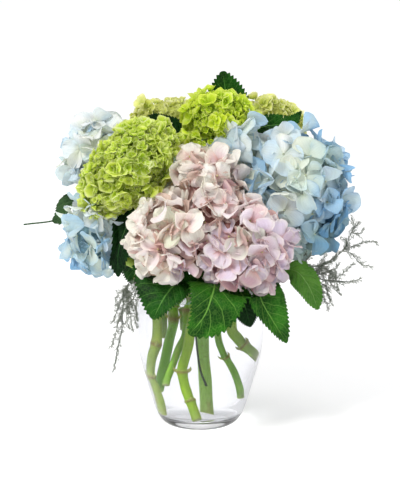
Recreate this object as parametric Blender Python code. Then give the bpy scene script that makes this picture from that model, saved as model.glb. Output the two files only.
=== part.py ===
"""Cut hydrangeas in a clear glass vase.

A tapered, round-heeled glass vase holds ten cut hydrangea stems. Each stem
carries one flower head, which is modelled as the closed envelope of its
florets. Serrated leaves sit between and below the heads, and three fine sprigs
of sea lavender fill the sides. The origin is the centre of the vase's flat
underside, +Z is up and the side that faces the viewer is -Y.
"""
import bpy
import bmesh
import math
import random
from mathutils import Matrix, Vector

MM = 0.001

# ---- driving dimensions, millimetres -----------------------------------------
RIM_HEIGHT = 150.0          # top of the lip above the table
WALL = 3.0                  # glass wall
FLOOR_THICKNESS = 9.0       # solid glass at the bottom
FOOT_RADIUS = 33.0          # flat the vase stands on
VASE_SIDES = 40
# outer profile above the foot: (height, radius)
VASE_PROFILE = [
    (0.0, 33.0), (1.0, 36.2), (4.0, 39.6), (9.0, 43.0), (18.0, 46.8), (29.0, 50.2),
    (42.0, 54.0), (56.0, 58.0), (72.0, 61.8), (88.0, 64.2), (103.0, 65.0),
    (118.0, 64.0), (131.0, 61.6), (140.0, 60.2), (146.0, 61.0),
]
LIP_RADIUS = 63.6

HEAD_GAP = 0.9              # half the gap between two heads that press together
LEAF_SLOT = 6.2             # the same where a leaf passes between them
STEM_SIDES = 7
LEAF_THICKNESS = 1.2
LEAF_CLEAR = 2.2            # leaf surface to flower head
VASE_CLEAR = 1.6            # leaf surface to glass

# ---- flower heads --------------------------------------------------------------
# centre, list of lobes (offset from the centre, radii), tilt about Y in degrees,
# bump height as a share of the radius, number of florets, icosphere level, colour
HEADS = {
    "pink_flower_head": dict(
        centre=(8.0, -44.0, 213.5),
        lobes=[((-5.0, 14.0, 39.0), (38.0, 32.0, 38.0)),
               ((-41.0, -14.0, -14.0), (41.0, 34.0, 41.0)),
               ((37.0, -14.0, -24.0), (46.0, 35.0, 45.0)),
               ((0.0, -6.0, 4.0), (40.0, 36.0, 40.0))],
        tilt=0.0, bump=0.07, florets=60, level=4, colour=(0.80, 0.58, 0.60)),
    "blue_flower_head_right": dict(
        centre=(93.0, 0.0, 236.5), lobes=[((0, 0, 0), (57.0, 48.0, 66.0))],
        tilt=-8.0, bump=0.07, florets=60, level=4, colour=(0.50, 0.68, 0.82)),
    "blue_flower_head_left_upper": dict(
        centre=(-99.0, 24.0, 262.0), lobes=[((0, 0, 0), (45.0, 42.0, 45.0))],
        tilt=0.0, bump=0.07, florets=36, level=3, colour=(0.62, 0.76, 0.86)),
    "blue_flower_head_left_lower": dict(
        centre=(-107.0, -8.0, 191.0), lobes=[((0, 0, 0), (32.0, 36.0, 37.0))],
        tilt=0.0, bump=0.07, florets=30, level=3, colour=(0.50, 0.70, 0.86)),
    "green_flower_head_left": dict(
        centre=(-70.0, -24.0, 264.0), lobes=[((0, 0, 0), (58.0, 32.0, 35.0))],
        tilt=-46.0, bump=0.05, florets=80, level=3, colour=(0.45, 0.64, 0.05)),
    "green_flower_head_top": dict(
        centre=(18.0, 18.0, 308.0), lobes=[((0, 0, 0), (34.0, 30.0, 29.0))],
        tilt=10.0, bump=0.05, florets=60, level=3, colour=(0.50, 0.70, 0.04)),
    "lime_flower_head_back_left": dict(
        centre=(-30.0, 52.0, 304.0), lobes=[((0, 0, 0), (30.0, 26.0, 22.0))],
        tilt=0.0, bump=0.05, florets=50, level=3, colour=(0.62, 0.66, 0.12)),
    "lime_flower_head_back_right": dict(
        centre=(76.0, 61.0, 300.0), lobes=[((0, 0, 0), (36.0, 24.0, 25.0))],
        tilt=26.0, bump=0.05, florets=50, level=3, colour=(0.58, 0.66, 0.12)),
    "blue_flower_head_back": dict(
        centre=(-44.0, 86.0, 218.0), lobes=[((0, 0, 0), (54.0, 42.0, 50.0))],
        tilt=0.0, bump=0.07, florets=40, level=3, colour=(0.56, 0.72, 0.84)),
    "pink_flower_head_back": dict(
        centre=(52.0, 88.0, 217.0), lobes=[((0, 0, 0), (52.0, 42.0, 50.0))],
        tilt=0.0, bump=0.07, florets=40, level=3, colour=(0.80, 0.60, 0.66)),
}

LEAFY_PAIRS = [{"blue_flower_head_right", "lime_flower_head_back_right"}]

# ---- stems: centre line, radius, colour ----------------------------------------
STEMS = {
    "stem_blue_left_lower": dict(
        path=[(-30.5, -4, 14), (-33, -5, 29), (-37, -6, 43), (-41, -7, 54), (-39, -8, 72),
              (-35, -8, 86), (-34, -8, 105), (-38, -8, 128), (-49, -8, 149), (-64, -9, 163),
              (-79, -9, 171)],
        r=4.5, nodes=[2.9, 5.0], head="blue_flower_head_left_lower",
        colour=(0.33, 0.45, 0.10)),
    "stem_blue_left_upper": dict(
        path=[(-28.5, 12, 37), (-27.5, 12, 46), (-25, 12, 64), (-22, 12, 85), (-19, 12, 105),
              (-23, 14, 135), (-40, 18, 170), (-62, 21, 202), (-82, 23, 224)],
        r=3.5, nodes=[4.0], head="blue_flower_head_left_upper", colour=(0.30, 0.50, 0.07)),
    "stem_green_left": dict(
        path=[(-29, -19, 47), (-26.5, -18, 56), (-22, -17, 69), (-17, -15, 84), (-11, -12, 100),
              (-12, -4, 132), (-22, 5, 162), (-34, 4, 196), (-48, -6, 226)],
        r=3.2, nodes=[4.6], head="green_flower_head_left", colour=(0.30, 0.47, 0.08)),
    "stem_pink": dict(
        path=[(-2.5, -29, 12), (-8, -27, 31), (-10, -26, 37), (-13, -25, 49), (-15, -25, 63),
              (-14, -25, 71), (-10, -25, 87), (-7, -26, 110), (-2, -28, 132), (3, -32, 150)],
        r=4.6, nodes=[1.2, 4.0], head="pink_flower_head", colour=(0.36, 0.48, 0.10)),
    "stem_green_top": dict(
        path=[(4.5, 18, 13), (3.6, 15, 48), (2.2, 13, 74), (2, 12, 96), (2, 12, 140),
              (5, 12, 200), (11, 14, 250), (16, 17, 272)],
        r=4.5, nodes=[3.0], head="green_flower_head_top", colour=(0.16, 0.36, 0.14)),
    "stem_lime_back_right": dict(
        path=[(29, 8, 29), (28, 8, 41), (24.6, 7, 57), (19.5, 6, 70), (17, 6, 75), (13, 5, 95),
              (16, 14, 130), (21, 27, 180), (27, 34, 230), (45, 46, 262), (60, 52, 276)],
        r=2.8, nodes=[3.2], head="lime_flower_head_back_right", colour=(0.30, 0.47, 0.10)),
    "stem_blue_right": dict(
        path=[(49.5, -8, 71), (43, -7, 77), (35, -6, 84), (29.5, -6, 91), (24.5, -6, 101),
              (27, -5, 126), (43, -2, 154), (60, 0, 174)],
        r=4.5, nodes=[2.0], head="blue_flower_head_right", colour=(0.33, 0.45, 0.10)),
    "stem_blue_back": dict(
        path=[(-9, 36, 90), (-10, 37, 110), (-13, 39, 131), (-19, 45, 151), (-30, 58, 166)],
        r=3.6, nodes=[1.0], head="blue_flower_head_back", colour=(0.24, 0.40, 0.09)),
    "stem_pink_back": dict(
        path=[(6, 38, 92), (7, 38, 110), (11, 40, 131), (18, 45, 151), (32, 58, 166)],
        r=3.6, nodes=[1.0], head="pink_flower_head_back", colour=(0.24, 0.40, 0.09)),
    "stem_lime_back_left": dict(
        path=[(-24, 31, 86), (-24, 31, 116), (-21, 31, 150), (-18, 32, 200),
              (-21, 38, 250), (-26, 46, 276)],
        r=3.0, nodes=[0.8], head="lime_flower_head_back_left", colour=(0.24, 0.40, 0.09)),
}

# ---- leaves: midrib points, greatest width, face direction, shape ---------------
LEAVES = {
    "leaf_front_left": dict(
        rib=[(-20, -48, 155.5), (-25, -60, 154.5), (-34, -70, 145), (-40, -75, 135), (-45, -78, 125)],
        width=60, face=(-0.15, -0.80, 0.5), teeth=11, cup=0.06, belly=(0.95, 0.62), sides=(0.62, 1.72),
        colour=(0.05, 0.17, 0.04)),
    "leaf_left_inner": dict(
        rib=[(-58, -14, 226), (-72, -26, 206), (-80, -33, 182), (-80, -38, 158)],
        width=36, face=(-0.2, -0.95, 0.1), teeth=9, cup=0.06, colour=(0.03, 0.10, 0.02)),
    "leaf_front_centre": dict(
        rib=[(12, -44, 156), (14, -62, 155.5), (11, -76, 147), (4, -83, 130), (-10.5, -84, 111.5)],
        width=58, face=(0.05, -0.8, 0.5), teeth=11, cup=0.08, belly=(1.25, 0.70), sides=(1.30, 0.95),
        colour=(0.06, 0.22, 0.04)),
    "leaf_front_dark": dict(
        rib=[(40, -56, 143.5), (42, -57, 138), (45, -58, 129), (49, -58, 112.5)],
        width=27, face=(0.15, -0.95, 0.1), teeth=8, cup=0.04, belly=(0.85, 0.85), colour=(0.02, 0.07, 0.02)),
    "leaf_front_right": dict(
        rib=[(49, -44, 156), (55, -58, 153), (60, -67, 139), (70, -70, 122), (84, -66, 98.5)],
        width=40, face=(0.35, -0.9, 0.25), teeth=10, cup=0.08, belly=(0.90, 0.90), sides=(1.34, 0.66),
        colour=(0.08, 0.25, 0.05)),
    "leaf_right_pale": dict(
        rib=[(84, -8, 160), (97, -16, 158), (106, -21, 148), (112, -24, 136), (117, -26, 122)],
        width=34, face=(0.45, -0.85, 0.2), teeth=8, cup=0.06, belly=(0.95, 0.95), colour=(0.14, 0.32, 0.12)),
    "leaf_top": dict(
        rib=[(22, 60, 284), (26, 58, 306), (26, 56, 328), (23, 54, 351)],
        width=56, face=(0.05, -0.98, 0.25), teeth=9, cup=0.08, colour=(0.04, 0.16, 0.03)),
    "leaf_top_right": dict(
        rib=[(48, 34, 286), (62, 36, 296), (78, 35, 299), (91, 33, 301), (102, 31, 313)],
        width=24, face=(-0.1, -0.85, 0.45), teeth=9, cup=0.08, colour=(0.04, 0.15, 0.03)),
    "leaf_between_greens": dict(
        rib=[(-14, 20, 280), (-24, 20, 293), (-38, 14, 303), (-51, 6, 311)],
        width=28, face=(0.0, -0.8, 0.6), teeth=8, cup=0.08, colour=(0.03, 0.11, 0.02)),
    "leaf_left_narrow": dict(
        rib=[(-112, 16, 232), (-128, 8, 222), (-142, 2, 208), (-176, 0, 203)],
        width=24, face=(-0.3, -0.9, 0.35), teeth=8, cup=0.25, colour=(0.07, 0.14, 0.07),
        tail=True),
    "leaf_back_left": dict(
        rib=[(-44, 52, 157), (-56, 66, 156), (-66, 80, 146), (-72, 90, 122)],
        width=50, face=(-0.5, 0.8, 0.4), teeth=9, cup=0.08, colour=(0.05, 0.18, 0.04)),
    "leaf_back_right": dict(
        rib=[(40, 56, 157), (52, 70, 156), (62, 84, 146), (68, 93, 120)],
        width=50, face=(0.5, 0.8, 0.4), teeth=9, cup=0.08, colour=(0.05, 0.18, 0.04)),
    "leaf_back_top": dict(
        rib=[(8, 62, 268), (8, 82, 272), (7, 104, 268), (6, 124, 254)],
        width=46, face=(0.0, 0.35, 0.95), teeth=9, cup=0.08, colour=(0.05, 0.18, 0.04)),
}

# ---- sea lavender sprigs: main stalk, side branches ------------------------------
SPRIGS = {
    "sprig_right_upper": dict(
        stalk=[(40, 12, 128), (50, 16, 148), (66, 17, 157), (92, 6, 157), (120, -5, 163),
               (142, -8, 178), (150, -8, 196), (158, -9, 208)],
        twigs=[(5, (152, -4, 182), (172, 0, 186), (177, 2, 182)),
               (5, (150, -12, 176), (160, -14, 166), (172, -14, 163)),
               (6, (158, -11, 196), (162, -12, 202)),
               (4, (124, -10, 150), (129, -14, 130), (132, -14, 123)),
               (4, (134, -14, 152), (138, -18, 140))],
        colour=(0.22, 0.24, 0.21)),
    "sprig_right_lower": dict(
        stalk=[(70, 12, 142), (82, 10, 150), (97, 6, 152), (113, 0, 150), (129, -7, 147),
               (150, -14, 148), (160, -16, 152)],
        twigs=[(3, (120, -4, 134), (126, -7, 124)),
               (4, (141, -16, 156), (152, -20, 168)),
               (2, (106, 2, 141), (112, 0, 133))],
        colour=(0.24, 0.25, 0.22)),
    "sprig_left": dict(
        stalk=[(5, -8, 46), (0, -8, 64), (-3, -10, 92), (-4, -13, 120), (-11, -19, 146), (-32, -33, 156),
               (-58, -40, 158), (-72, -34, 148), (-76, -30, 126), (-78, -28, 98),
               (-82, -26, 82), (-86, -26, 60)],
        twigs=[(6, (-80, -34, 140), (-84, -34, 128)),
               (7, (-68, -40, 116), (-66, -42, 104)),
               (7, (-84, -28, 116), (-88, -28, 108)),
               (8, (-86, -30, 92), (-90, -30, 84))],
        colour=(0.22, 0.24, 0.21)),
}


# ---- helpers ---------------------------------------------------------------------
def new_material(name, colour, roughness, alpha=1.0, transmission=0.0):
    mat = bpy.data.materials.new(name)
    mat.use_nodes = True
    bsdf = mat.node_tree.nodes["Principled BSDF"]
    bsdf.inputs["Base Color"].default_value = (colour[0], colour[1], colour[2], 1.0)
    bsdf.inputs["Roughness"].default_value = roughness
    bsdf.inputs["Metallic"].default_value = 0.0
    bsdf.inputs["Transmission Weight"].default_value = transmission
    bsdf.inputs["IOR"].default_value = 1.5
    bsdf.inputs["Alpha"].default_value = alpha
    mat.diffuse_color = (colour[0], colour[1], colour[2], alpha)
    return mat


def add_object(name, bm, material, origin=Vector((0, 0, 0))):
    """Turn a bmesh in millimetres into an object in metres, origin at its own root."""
    bmesh.ops.recalc_face_normals(bm, faces=bm.faces)
    bmesh.ops.translate(bm, vec=-origin, verts=bm.verts)
    bmesh.ops.scale(bm, vec=(MM, MM, MM), verts=bm.verts)
    mesh = bpy.data.meshes.new(name)
    bm.to_mesh(mesh)
    bm.free()
    mesh.materials.append(material)
    mesh.shade_smooth()
    mesh.set_sharp_from_angle(angle=math.radians(40))
    obj = bpy.data.objects.new(name, mesh)
    obj.location = origin * MM
    bpy.context.scene.collection.objects.link(obj)
    return obj


def profile_radius(z):
    """Outer radius of the glass at a height."""
    pts = VASE_PROFILE + [(RIM_HEIGHT - 1.0, LIP_RADIUS)]
    if z <= pts[0][0]:
        return pts[0][1]
    for (z0, r0), (z1, r1) in zip(pts, pts[1:]):
        if z <= z1:
            return r0 + (r1 - r0) * (z - z0) / (z1 - z0)
    return pts[-1][1]


def fibonacci(count, seed):
    """Evenly spread unit directions, each moved a little."""
    rng = random.Random(seed)
    out = []
    for i in range(count):
        z = 1 - 2 * (i + 0.5) / count
        a = i * math.pi * (3 - math.sqrt(5))
        s = math.sqrt(1 - z * z)
        d = Vector((s * math.cos(a), s * math.sin(a), z))
        d += Vector([rng.uniform(-0.08, 0.08) for _ in range(3)])
        out.append(d.normalized())
    return out


class Head:
    """A flower head as a distance from its centre in every direction."""

    def __init__(self, name, spec):
        self.name = name
        self.c = Vector(spec["centre"])
        tilt = Matrix.Rotation(math.radians(spec["tilt"]), 3, "Y")
        self.back = tilt.transposed()
        self.lobes = [(self.back @ Vector(o), Vector(r)) for o, r in spec["lobes"]]
        self.bump = spec["bump"]
        self.florets = fibonacci(spec["florets"], len(name))
        self.width = 2.2 / math.sqrt(spec["florets"])
        self.planes = []
        self.spec = spec

    def base(self, d):
        """Smooth radius: the far side of the union of the lobes."""
        q = self.back @ d
        best = 4.0
        for o, r in self.lobes:
            a = sum((q[i] / r[i]) ** 2 for i in range(3))
            b = -2 * sum(q[i] * o[i] / r[i] ** 2 for i in range(3))
            c = sum((o[i] / r[i]) ** 2 for i in range(3)) - 1
            disc = b * b - 4 * a * c
            if disc > 0:
                best = max(best, (-b + math.sqrt(disc)) / (2 * a))
        return best

    def limit(self, d, r):
        """Cut the radius back to the planes shared with neighbours and to the rim."""
        for n, dist in self.planes:
            k = n.dot(d)
            if k > 1e-6:
                r = min(r, dist / k)
        for _ in range(400):
            p = self.c + d * r
            over_rim = math.hypot(p.x, p.y) < 70.0
            if p.z >= (161.5 if over_rim else 139.0):
                break
            r *= 0.996
        return r

    def radius(self, d):
        r = self.base(d)
        near = max(d.dot(f) for f in self.florets)
        angle = math.acos(max(-1.0, min(1.0, near)))
        t = max(0.0, 1.0 - (angle / self.width) ** 2)
        return self.limit(d, r * (1.0 + self.bump * (2.0 * t - 1.0)))

    def envelope(self, d):
        return self.limit(d, self.base(d) * (1.0 + self.bump))


def share_planes(heads):
    """Put a flat parting plane between every two heads that would meet."""
    for i, a in enumerate(heads):
        for b in heads[i + 1:]:
            way = b.c - a.c
            dist = way.length
            n = way / dist
            ra, rb = a.base(n) * (1 + a.bump), b.base(-n) * (1 + b.bump)
            reach_a = max(f.dot(n) * a.base(f) for f in a.florets) * 1.12
            reach_b = max(f.dot(-n) * b.base(f) for f in b.florets) * 1.12
            reach_a, reach_b = max(reach_a, ra), max(reach_b, rb)
            if reach_a + reach_b < dist:
                continue
            cut = dist * reach_a / (reach_a + reach_b)
            gap = LEAF_SLOT if {a.name, b.name} in LEAFY_PAIRS else HEAD_GAP
            a.planes.append((n, cut - gap))
            b.planes.append((-n, dist - cut - gap))


def stem_plane(head, top, toward, radius):
    """Flatten a head where its stem comes up, just above the stem's end."""
    n = (top - head.c).normalized()
    lean = (-n).angle(toward)
    dist = (top - head.c).dot(n) - 0.6 - radius * math.sin(lean)
    head.planes.append((n, dist))


def smooth_path(points, per_span):
    """Catmull-Rom curve through the points."""
    pts = [Vector(p) for p in points]
    ext = [pts[0] * 2 - pts[1]] + pts + [pts[-1] * 2 - pts[-2]]
    out = []
    for i in range(1, len(ext) - 2):
        p0, p1, p2, p3 = ext[i - 1:i + 3]
        for s in range(per_span):
            t = s / per_span
            out.append(0.5 * ((2 * p1) + (p2 - p0) * t + (2 * p0 - 5 * p1 + 4 * p2 - p3) * t * t
                              + (3 * p1 - p0 - 3 * p2 + p3) * t ** 3))
    out.append(pts[-1])
    return out


def frames(path):
    """Tangent and two side vectors along a path, turned as little as possible."""
    out = []
    side = None
    for i, p in enumerate(path):
        a = path[max(0, i - 1)]
        b = path[min(len(path) - 1, i + 1)]
        t = (b - a).normalized()
        if side is None:
            side = t.orthogonal().normalized()
        side = (side - t * side.dot(t)).normalized()
        out.append((t, side, t.cross(side)))
    return out


def tube(path, radii, sides):
    bm = bmesh.new()
    rings = []
    for p, r, (t, u, v) in zip(path, radii, frames(path)):
        ring = []
        for k in range(sides):
            a = 2 * math.pi * k / sides
            ring.append(bm.verts.new(p + (u * math.cos(a) + v * math.sin(a)) * r))
        rings.append(ring)
    for a, b in zip(rings, rings[1:]):
        for k in range(sides):
            bm.faces.new((a[k], a[(k + 1) % sides], b[(k + 1) % sides], b[k]))
    bm.faces.new(list(reversed(rings[0])))
    bm.faces.new(rings[-1])
    return bm


# ---- pieces ----------------------------------------------------------------------
def make_vase():
    outer = [(r, z) for z, r in VASE_PROFILE]
    lip = [(LIP_RADIUS, RIM_HEIGHT - 1.2), (LIP_RADIUS - 0.5, RIM_HEIGHT - 0.2),
           (LIP_RADIUS - 1.5, RIM_HEIGHT), (LIP_RADIUS - 2.5, RIM_HEIGHT - 0.3)]
    inner = [(r - WALL, z) for z, r in reversed(VASE_PROFILE) if z > FLOOR_THICKNESS + 4]
    inner += [(40.0, FLOOR_THICKNESS + 3.6), (36.0, FLOOR_THICKNESS + 1.0), (30.0, FLOOR_THICKNESS)]
    profile = outer + lip + inner
    bm = bmesh.new()
    verts = [bm.verts.new((r, 0, z)) for r, z in profile]
    edges = [bm.edges.new((a, b)) for a, b in zip(verts, verts[1:])]
    bmesh.ops.spin(bm, geom=verts + edges, axis=(0, 0, 1), cent=(0, 0, 0),
                   angle=2 * math.pi, steps=VASE_SIDES, use_merge=True)
    bmesh.ops.remove_doubles(bm, verts=bm.verts, dist=0.001)
    open_edges = [e for e in bm.edges if len(e.link_faces) == 1]
    bmesh.ops.holes_fill(bm, edges=open_edges, sides=0)
    return add_object("glass_vase", bm, new_material("clear_glass", (0.93, 0.95, 0.96), 0.03,
                                                     alpha=0.35, transmission=1.0))


def make_head(head):
    bm = bmesh.new()
    bmesh.ops.create_icosphere(bm, subdivisions=head.spec["level"] , radius=1.0)
    for v in bm.verts:
        d = v.co.normalized()
        v.co = head.c + d * head.radius(d)
    return add_object(head.name, bm, new_material(head.name + "_florets", head.spec["colour"], 0.7),
                      head.c)


def make_stem(name, spec):
    path = smooth_path(spec["path"], 2)
    count = len(spec["path"]) - 1
    radii = []
    for i in range(len(path)):
        at = i / 2.0
        r = spec["r"] * (1.0 - 0.08 * at / count)
        for n in spec["nodes"]:
            r *= 1.0 + 0.22 * math.exp(-((at - n) / 0.28) ** 2)
        radii.append(r)
    bm = tube(path, radii, STEM_SIDES)
    return add_object(name, bm, new_material(name + "_skin", spec["colour"], 0.5), path[0])


def leaf_width(t, tail, belly):
    """Half width along the leaf, 0 at the stalk to 1 at the tip; a larger belly is widest nearer the tip."""
    if tail:
        return 0.06 + 0.94 * max(0.0, math.sin(math.pi * min(1.0, t / 0.62)) ** 0.8) if t < 0.62 else 0.06
    body = math.sin(math.pi * t ** belly) ** 0.72
    return max(0.035, body * (1.0 - 0.25 * t))


def make_leaf(name, spec, heads):
    rows = spec["teeth"] * 2
    rib = smooth_path(spec["rib"], 8)
    # equal steps along the midrib
    length = [0.0]
    for a, b in zip(rib, rib[1:]):
        length.append(length[-1] + (b - a).length)
    def at(s):
        for i in range(1, len(rib)):
            if length[i] >= s or i == len(rib) - 1:
                f = (s - length[i - 1]) / (length[i] - length[i - 1])
                return rib[i - 1].lerp(rib[i], f)
    path = [at(length[-1] * k / rows) for k in range(rows + 1)]
    face = Vector(spec["face"]).normalized()
    half = LEAF_THICKNESS / 2
    cols = (-1.0, -0.5, 0.0, 0.5, 1.0) if spec["width"] > 40 else (-1.0, 0.0, 1.0)
    grid = []
    for k, p in enumerate(path):
        a, b = path[max(0, k - 1)], path[min(rows, k + 1)]
        t = (b - a).normalized()
        across = t.cross(face).normalized()
        up = across.cross(t).normalized()
        halves = [0.5 * spec["width"] * share * leaf_width(k / rows, spec.get("tail", False), belly)
                  for share, belly in zip(spec.get("sides", (1.0, 1.0)), spec.get("belly", (0.80, 0.80)))]
        row = []
        for c in cols:
            w = halves[0 if c < 0 else 1]
            reach = w * c
            slip = 0.0
            if abs(c) == 1.0 and 0 < k < rows:
                tooth = 0.055 * spec["width"] if not spec.get("tail") else 0.02 * spec["width"]
                reach += math.copysign(tooth if k % 2 else -tooth * 0.6, c) * min(1.0, w / 8.0)
                slip = 1.6 if k % 2 else 0.0
            lift = abs(reach) * spec["cup"] - 0.018 * reach * reach * 0.1
            row.append(p + across * reach + up * lift + t * slip)
        grid.append(row)
    # keep clear of the flower heads, the glass and the table
    for _ in range(6):
        for row in grid:
            for i, p in enumerate(row):
                for h in heads:
                    d = p - h.c
                    if d.length < 1e-6:
                        continue
                    u = d.normalized()
                    need = h.envelope(u) + LEAF_CLEAR + half
                    if d.length < need:
                        p = h.c + u * need
                rad = math.hypot(p.x, p.y)
                need = profile_radius(p.z) + VASE_CLEAR + half
                over = RIM_HEIGHT + VASE_CLEAR + half
                if p.z < over and rad < need:
                    if rad < LIP_RADIUS - 3.0 or p.z > RIM_HEIGHT - 3.0:
                        p = Vector((p.x, p.y, over))
                    else:
                        p = Vector((p.x * need / rad, p.y * need / rad, p.z))
                row[i] = p
    n_rows, n_cols = len(grid), len(cols)
    normals = []
    for j in range(n_rows):
        line = []
        for i in range(n_cols):
            along = grid[min(n_rows - 1, j + 1)][i] - grid[max(0, j - 1)][i]
            cross = grid[j][min(n_cols - 1, i + 1)] - grid[j][max(0, i - 1)]
            line.append(along.cross(cross).normalized())
        normals.append(line)
    bm = bmesh.new()
    top = [[bm.verts.new(grid[j][i] + normals[j][i] * half) for i in range(n_cols)] for j in range(n_rows)]
    low = [[bm.verts.new(grid[j][i] - normals[j][i] * half) for i in range(n_cols)] for j in range(n_rows)]
    for j in range(n_rows - 1):
        for i in range(n_cols - 1):
            bm.faces.new((top[j][i], top[j][i + 1], top[j + 1][i + 1], top[j + 1][i]))
            bm.faces.new((low[j][i], low[j + 1][i], low[j + 1][i + 1], low[j][i + 1]))
        for i in (0, n_cols - 1):
            bm.faces.new((top[j][i], top[j + 1][i], low[j + 1][i], low[j][i]))
    for j in (0, n_rows - 1):
        for i in range(n_cols - 1):
            bm.faces.new((top[j][i], top[j][i + 1], low[j][i + 1], low[j][i]))
    bmesh.ops.triangulate(bm, faces=bm.faces)
    return add_object(name, bm, new_material(name + "_blade", spec["colour"], 0.45), path[0])


def make_sprig(name, spec):
    """A stalk with its side twigs grown out of it."""
    stalk = smooth_path(spec["stalk"], 1)
    radii = [1.5 - 0.5 * i / (len(stalk) - 1) for i in range(len(stalk))]
    obj = add_object(name, tube(stalk, radii, 6), new_material(name + "_twig", spec["colour"], 0.8),
                     stalk[0])
    for k, twig in enumerate(spec["twigs"]):
        path = [stalk[twig[0]]] + [Vector(p) for p in twig[1:]]
        way = (path[1] - path[0]).normalized()
        path[0] = path[0] - way * 0.25
        bm = tube(path, [0.8 - 0.08 * i for i in range(len(path))], 5)
        cutter = add_object(name + "_twig_%d" % (k + 1), bm, obj.data.materials[0], stalk[twig[0]])
        cutter.hide_render = True
        cutter.display_type = "WIRE"
        union = obj.modifiers.new("Twig %d" % (k + 1), "BOOLEAN")
        union.operation = "UNION"
        union.solver = "EXACT"
        union.object = cutter
    return obj


def main():
    for obj in list(bpy.data.objects):
        bpy.data.objects.remove(obj, do_unlink=True)

    make_vase()

    heads = {name: Head(name, spec) for name, spec in HEADS.items()}
    share_planes(list(heads.values()))
    for spec in STEMS.values():
        top, below = Vector(spec["path"][-1]), Vector(spec["path"][-2])
        stem_plane(heads[spec["head"]], top, top - below, spec["r"])
    for head in heads.values():
        make_head(head)
    for name, spec in STEMS.items():
        make_stem(name, spec)
    for name, spec in LEAVES.items():
        make_leaf(name, spec, list(heads.values()))
    for name, spec in SPRIGS.items():
        make_sprig(name, spec)


main()
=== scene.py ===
"""Looks for the hydrangeas in a glass vase: florets, leaves, stems, sea lavender, glass and water."""
import math

import bmesh
import bpy
import numpy as np
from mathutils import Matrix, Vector, noise


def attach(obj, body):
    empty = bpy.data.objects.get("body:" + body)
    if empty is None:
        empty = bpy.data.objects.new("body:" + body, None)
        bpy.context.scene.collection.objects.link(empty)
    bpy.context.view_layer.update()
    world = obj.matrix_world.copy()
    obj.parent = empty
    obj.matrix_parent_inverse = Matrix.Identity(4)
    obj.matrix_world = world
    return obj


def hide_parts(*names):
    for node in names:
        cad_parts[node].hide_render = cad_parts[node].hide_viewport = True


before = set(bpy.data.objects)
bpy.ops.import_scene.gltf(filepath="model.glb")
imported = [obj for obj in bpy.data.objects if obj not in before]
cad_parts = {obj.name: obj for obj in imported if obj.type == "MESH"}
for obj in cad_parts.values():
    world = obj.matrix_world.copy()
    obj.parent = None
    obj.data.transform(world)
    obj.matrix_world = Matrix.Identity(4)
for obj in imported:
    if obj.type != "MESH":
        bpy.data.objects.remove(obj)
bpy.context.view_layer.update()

MM = 0.001

# ---- driving dimensions, millimetres -----------------------------------------
RIM_HEIGHT = 150.0          # top of the lip above the table
WALL = 3.0                  # glass wall
FLOOR_THICKNESS = 9.0       # solid glass at the bottom
FOOT_RADIUS = 33.0          # flat the vase stands on
VASE_SIDES = 40
# outer profile above the foot: (height, radius)
VASE_PROFILE = [
    (0.0, 33.0), (1.0, 36.2), (4.0, 39.6), (9.0, 43.0), (18.0, 46.8), (29.0, 50.2),
    (42.0, 54.0), (56.0, 58.0), (72.0, 61.8), (88.0, 64.2), (103.0, 65.0),
    (118.0, 64.0), (131.0, 61.6), (140.0, 60.2), (146.0, 61.0),
]
LIP_RADIUS = 63.6

HEAD_GAP = 0.9              # half the gap between two heads that press together
LEAF_SLOT = 6.2             # the same where a leaf passes between them
STEM_SIDES = 7
LEAF_THICKNESS = 1.2
LEAF_CLEAR = 2.2            # leaf surface to flower head
VASE_CLEAR = 1.6            # leaf surface to glass

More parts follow.
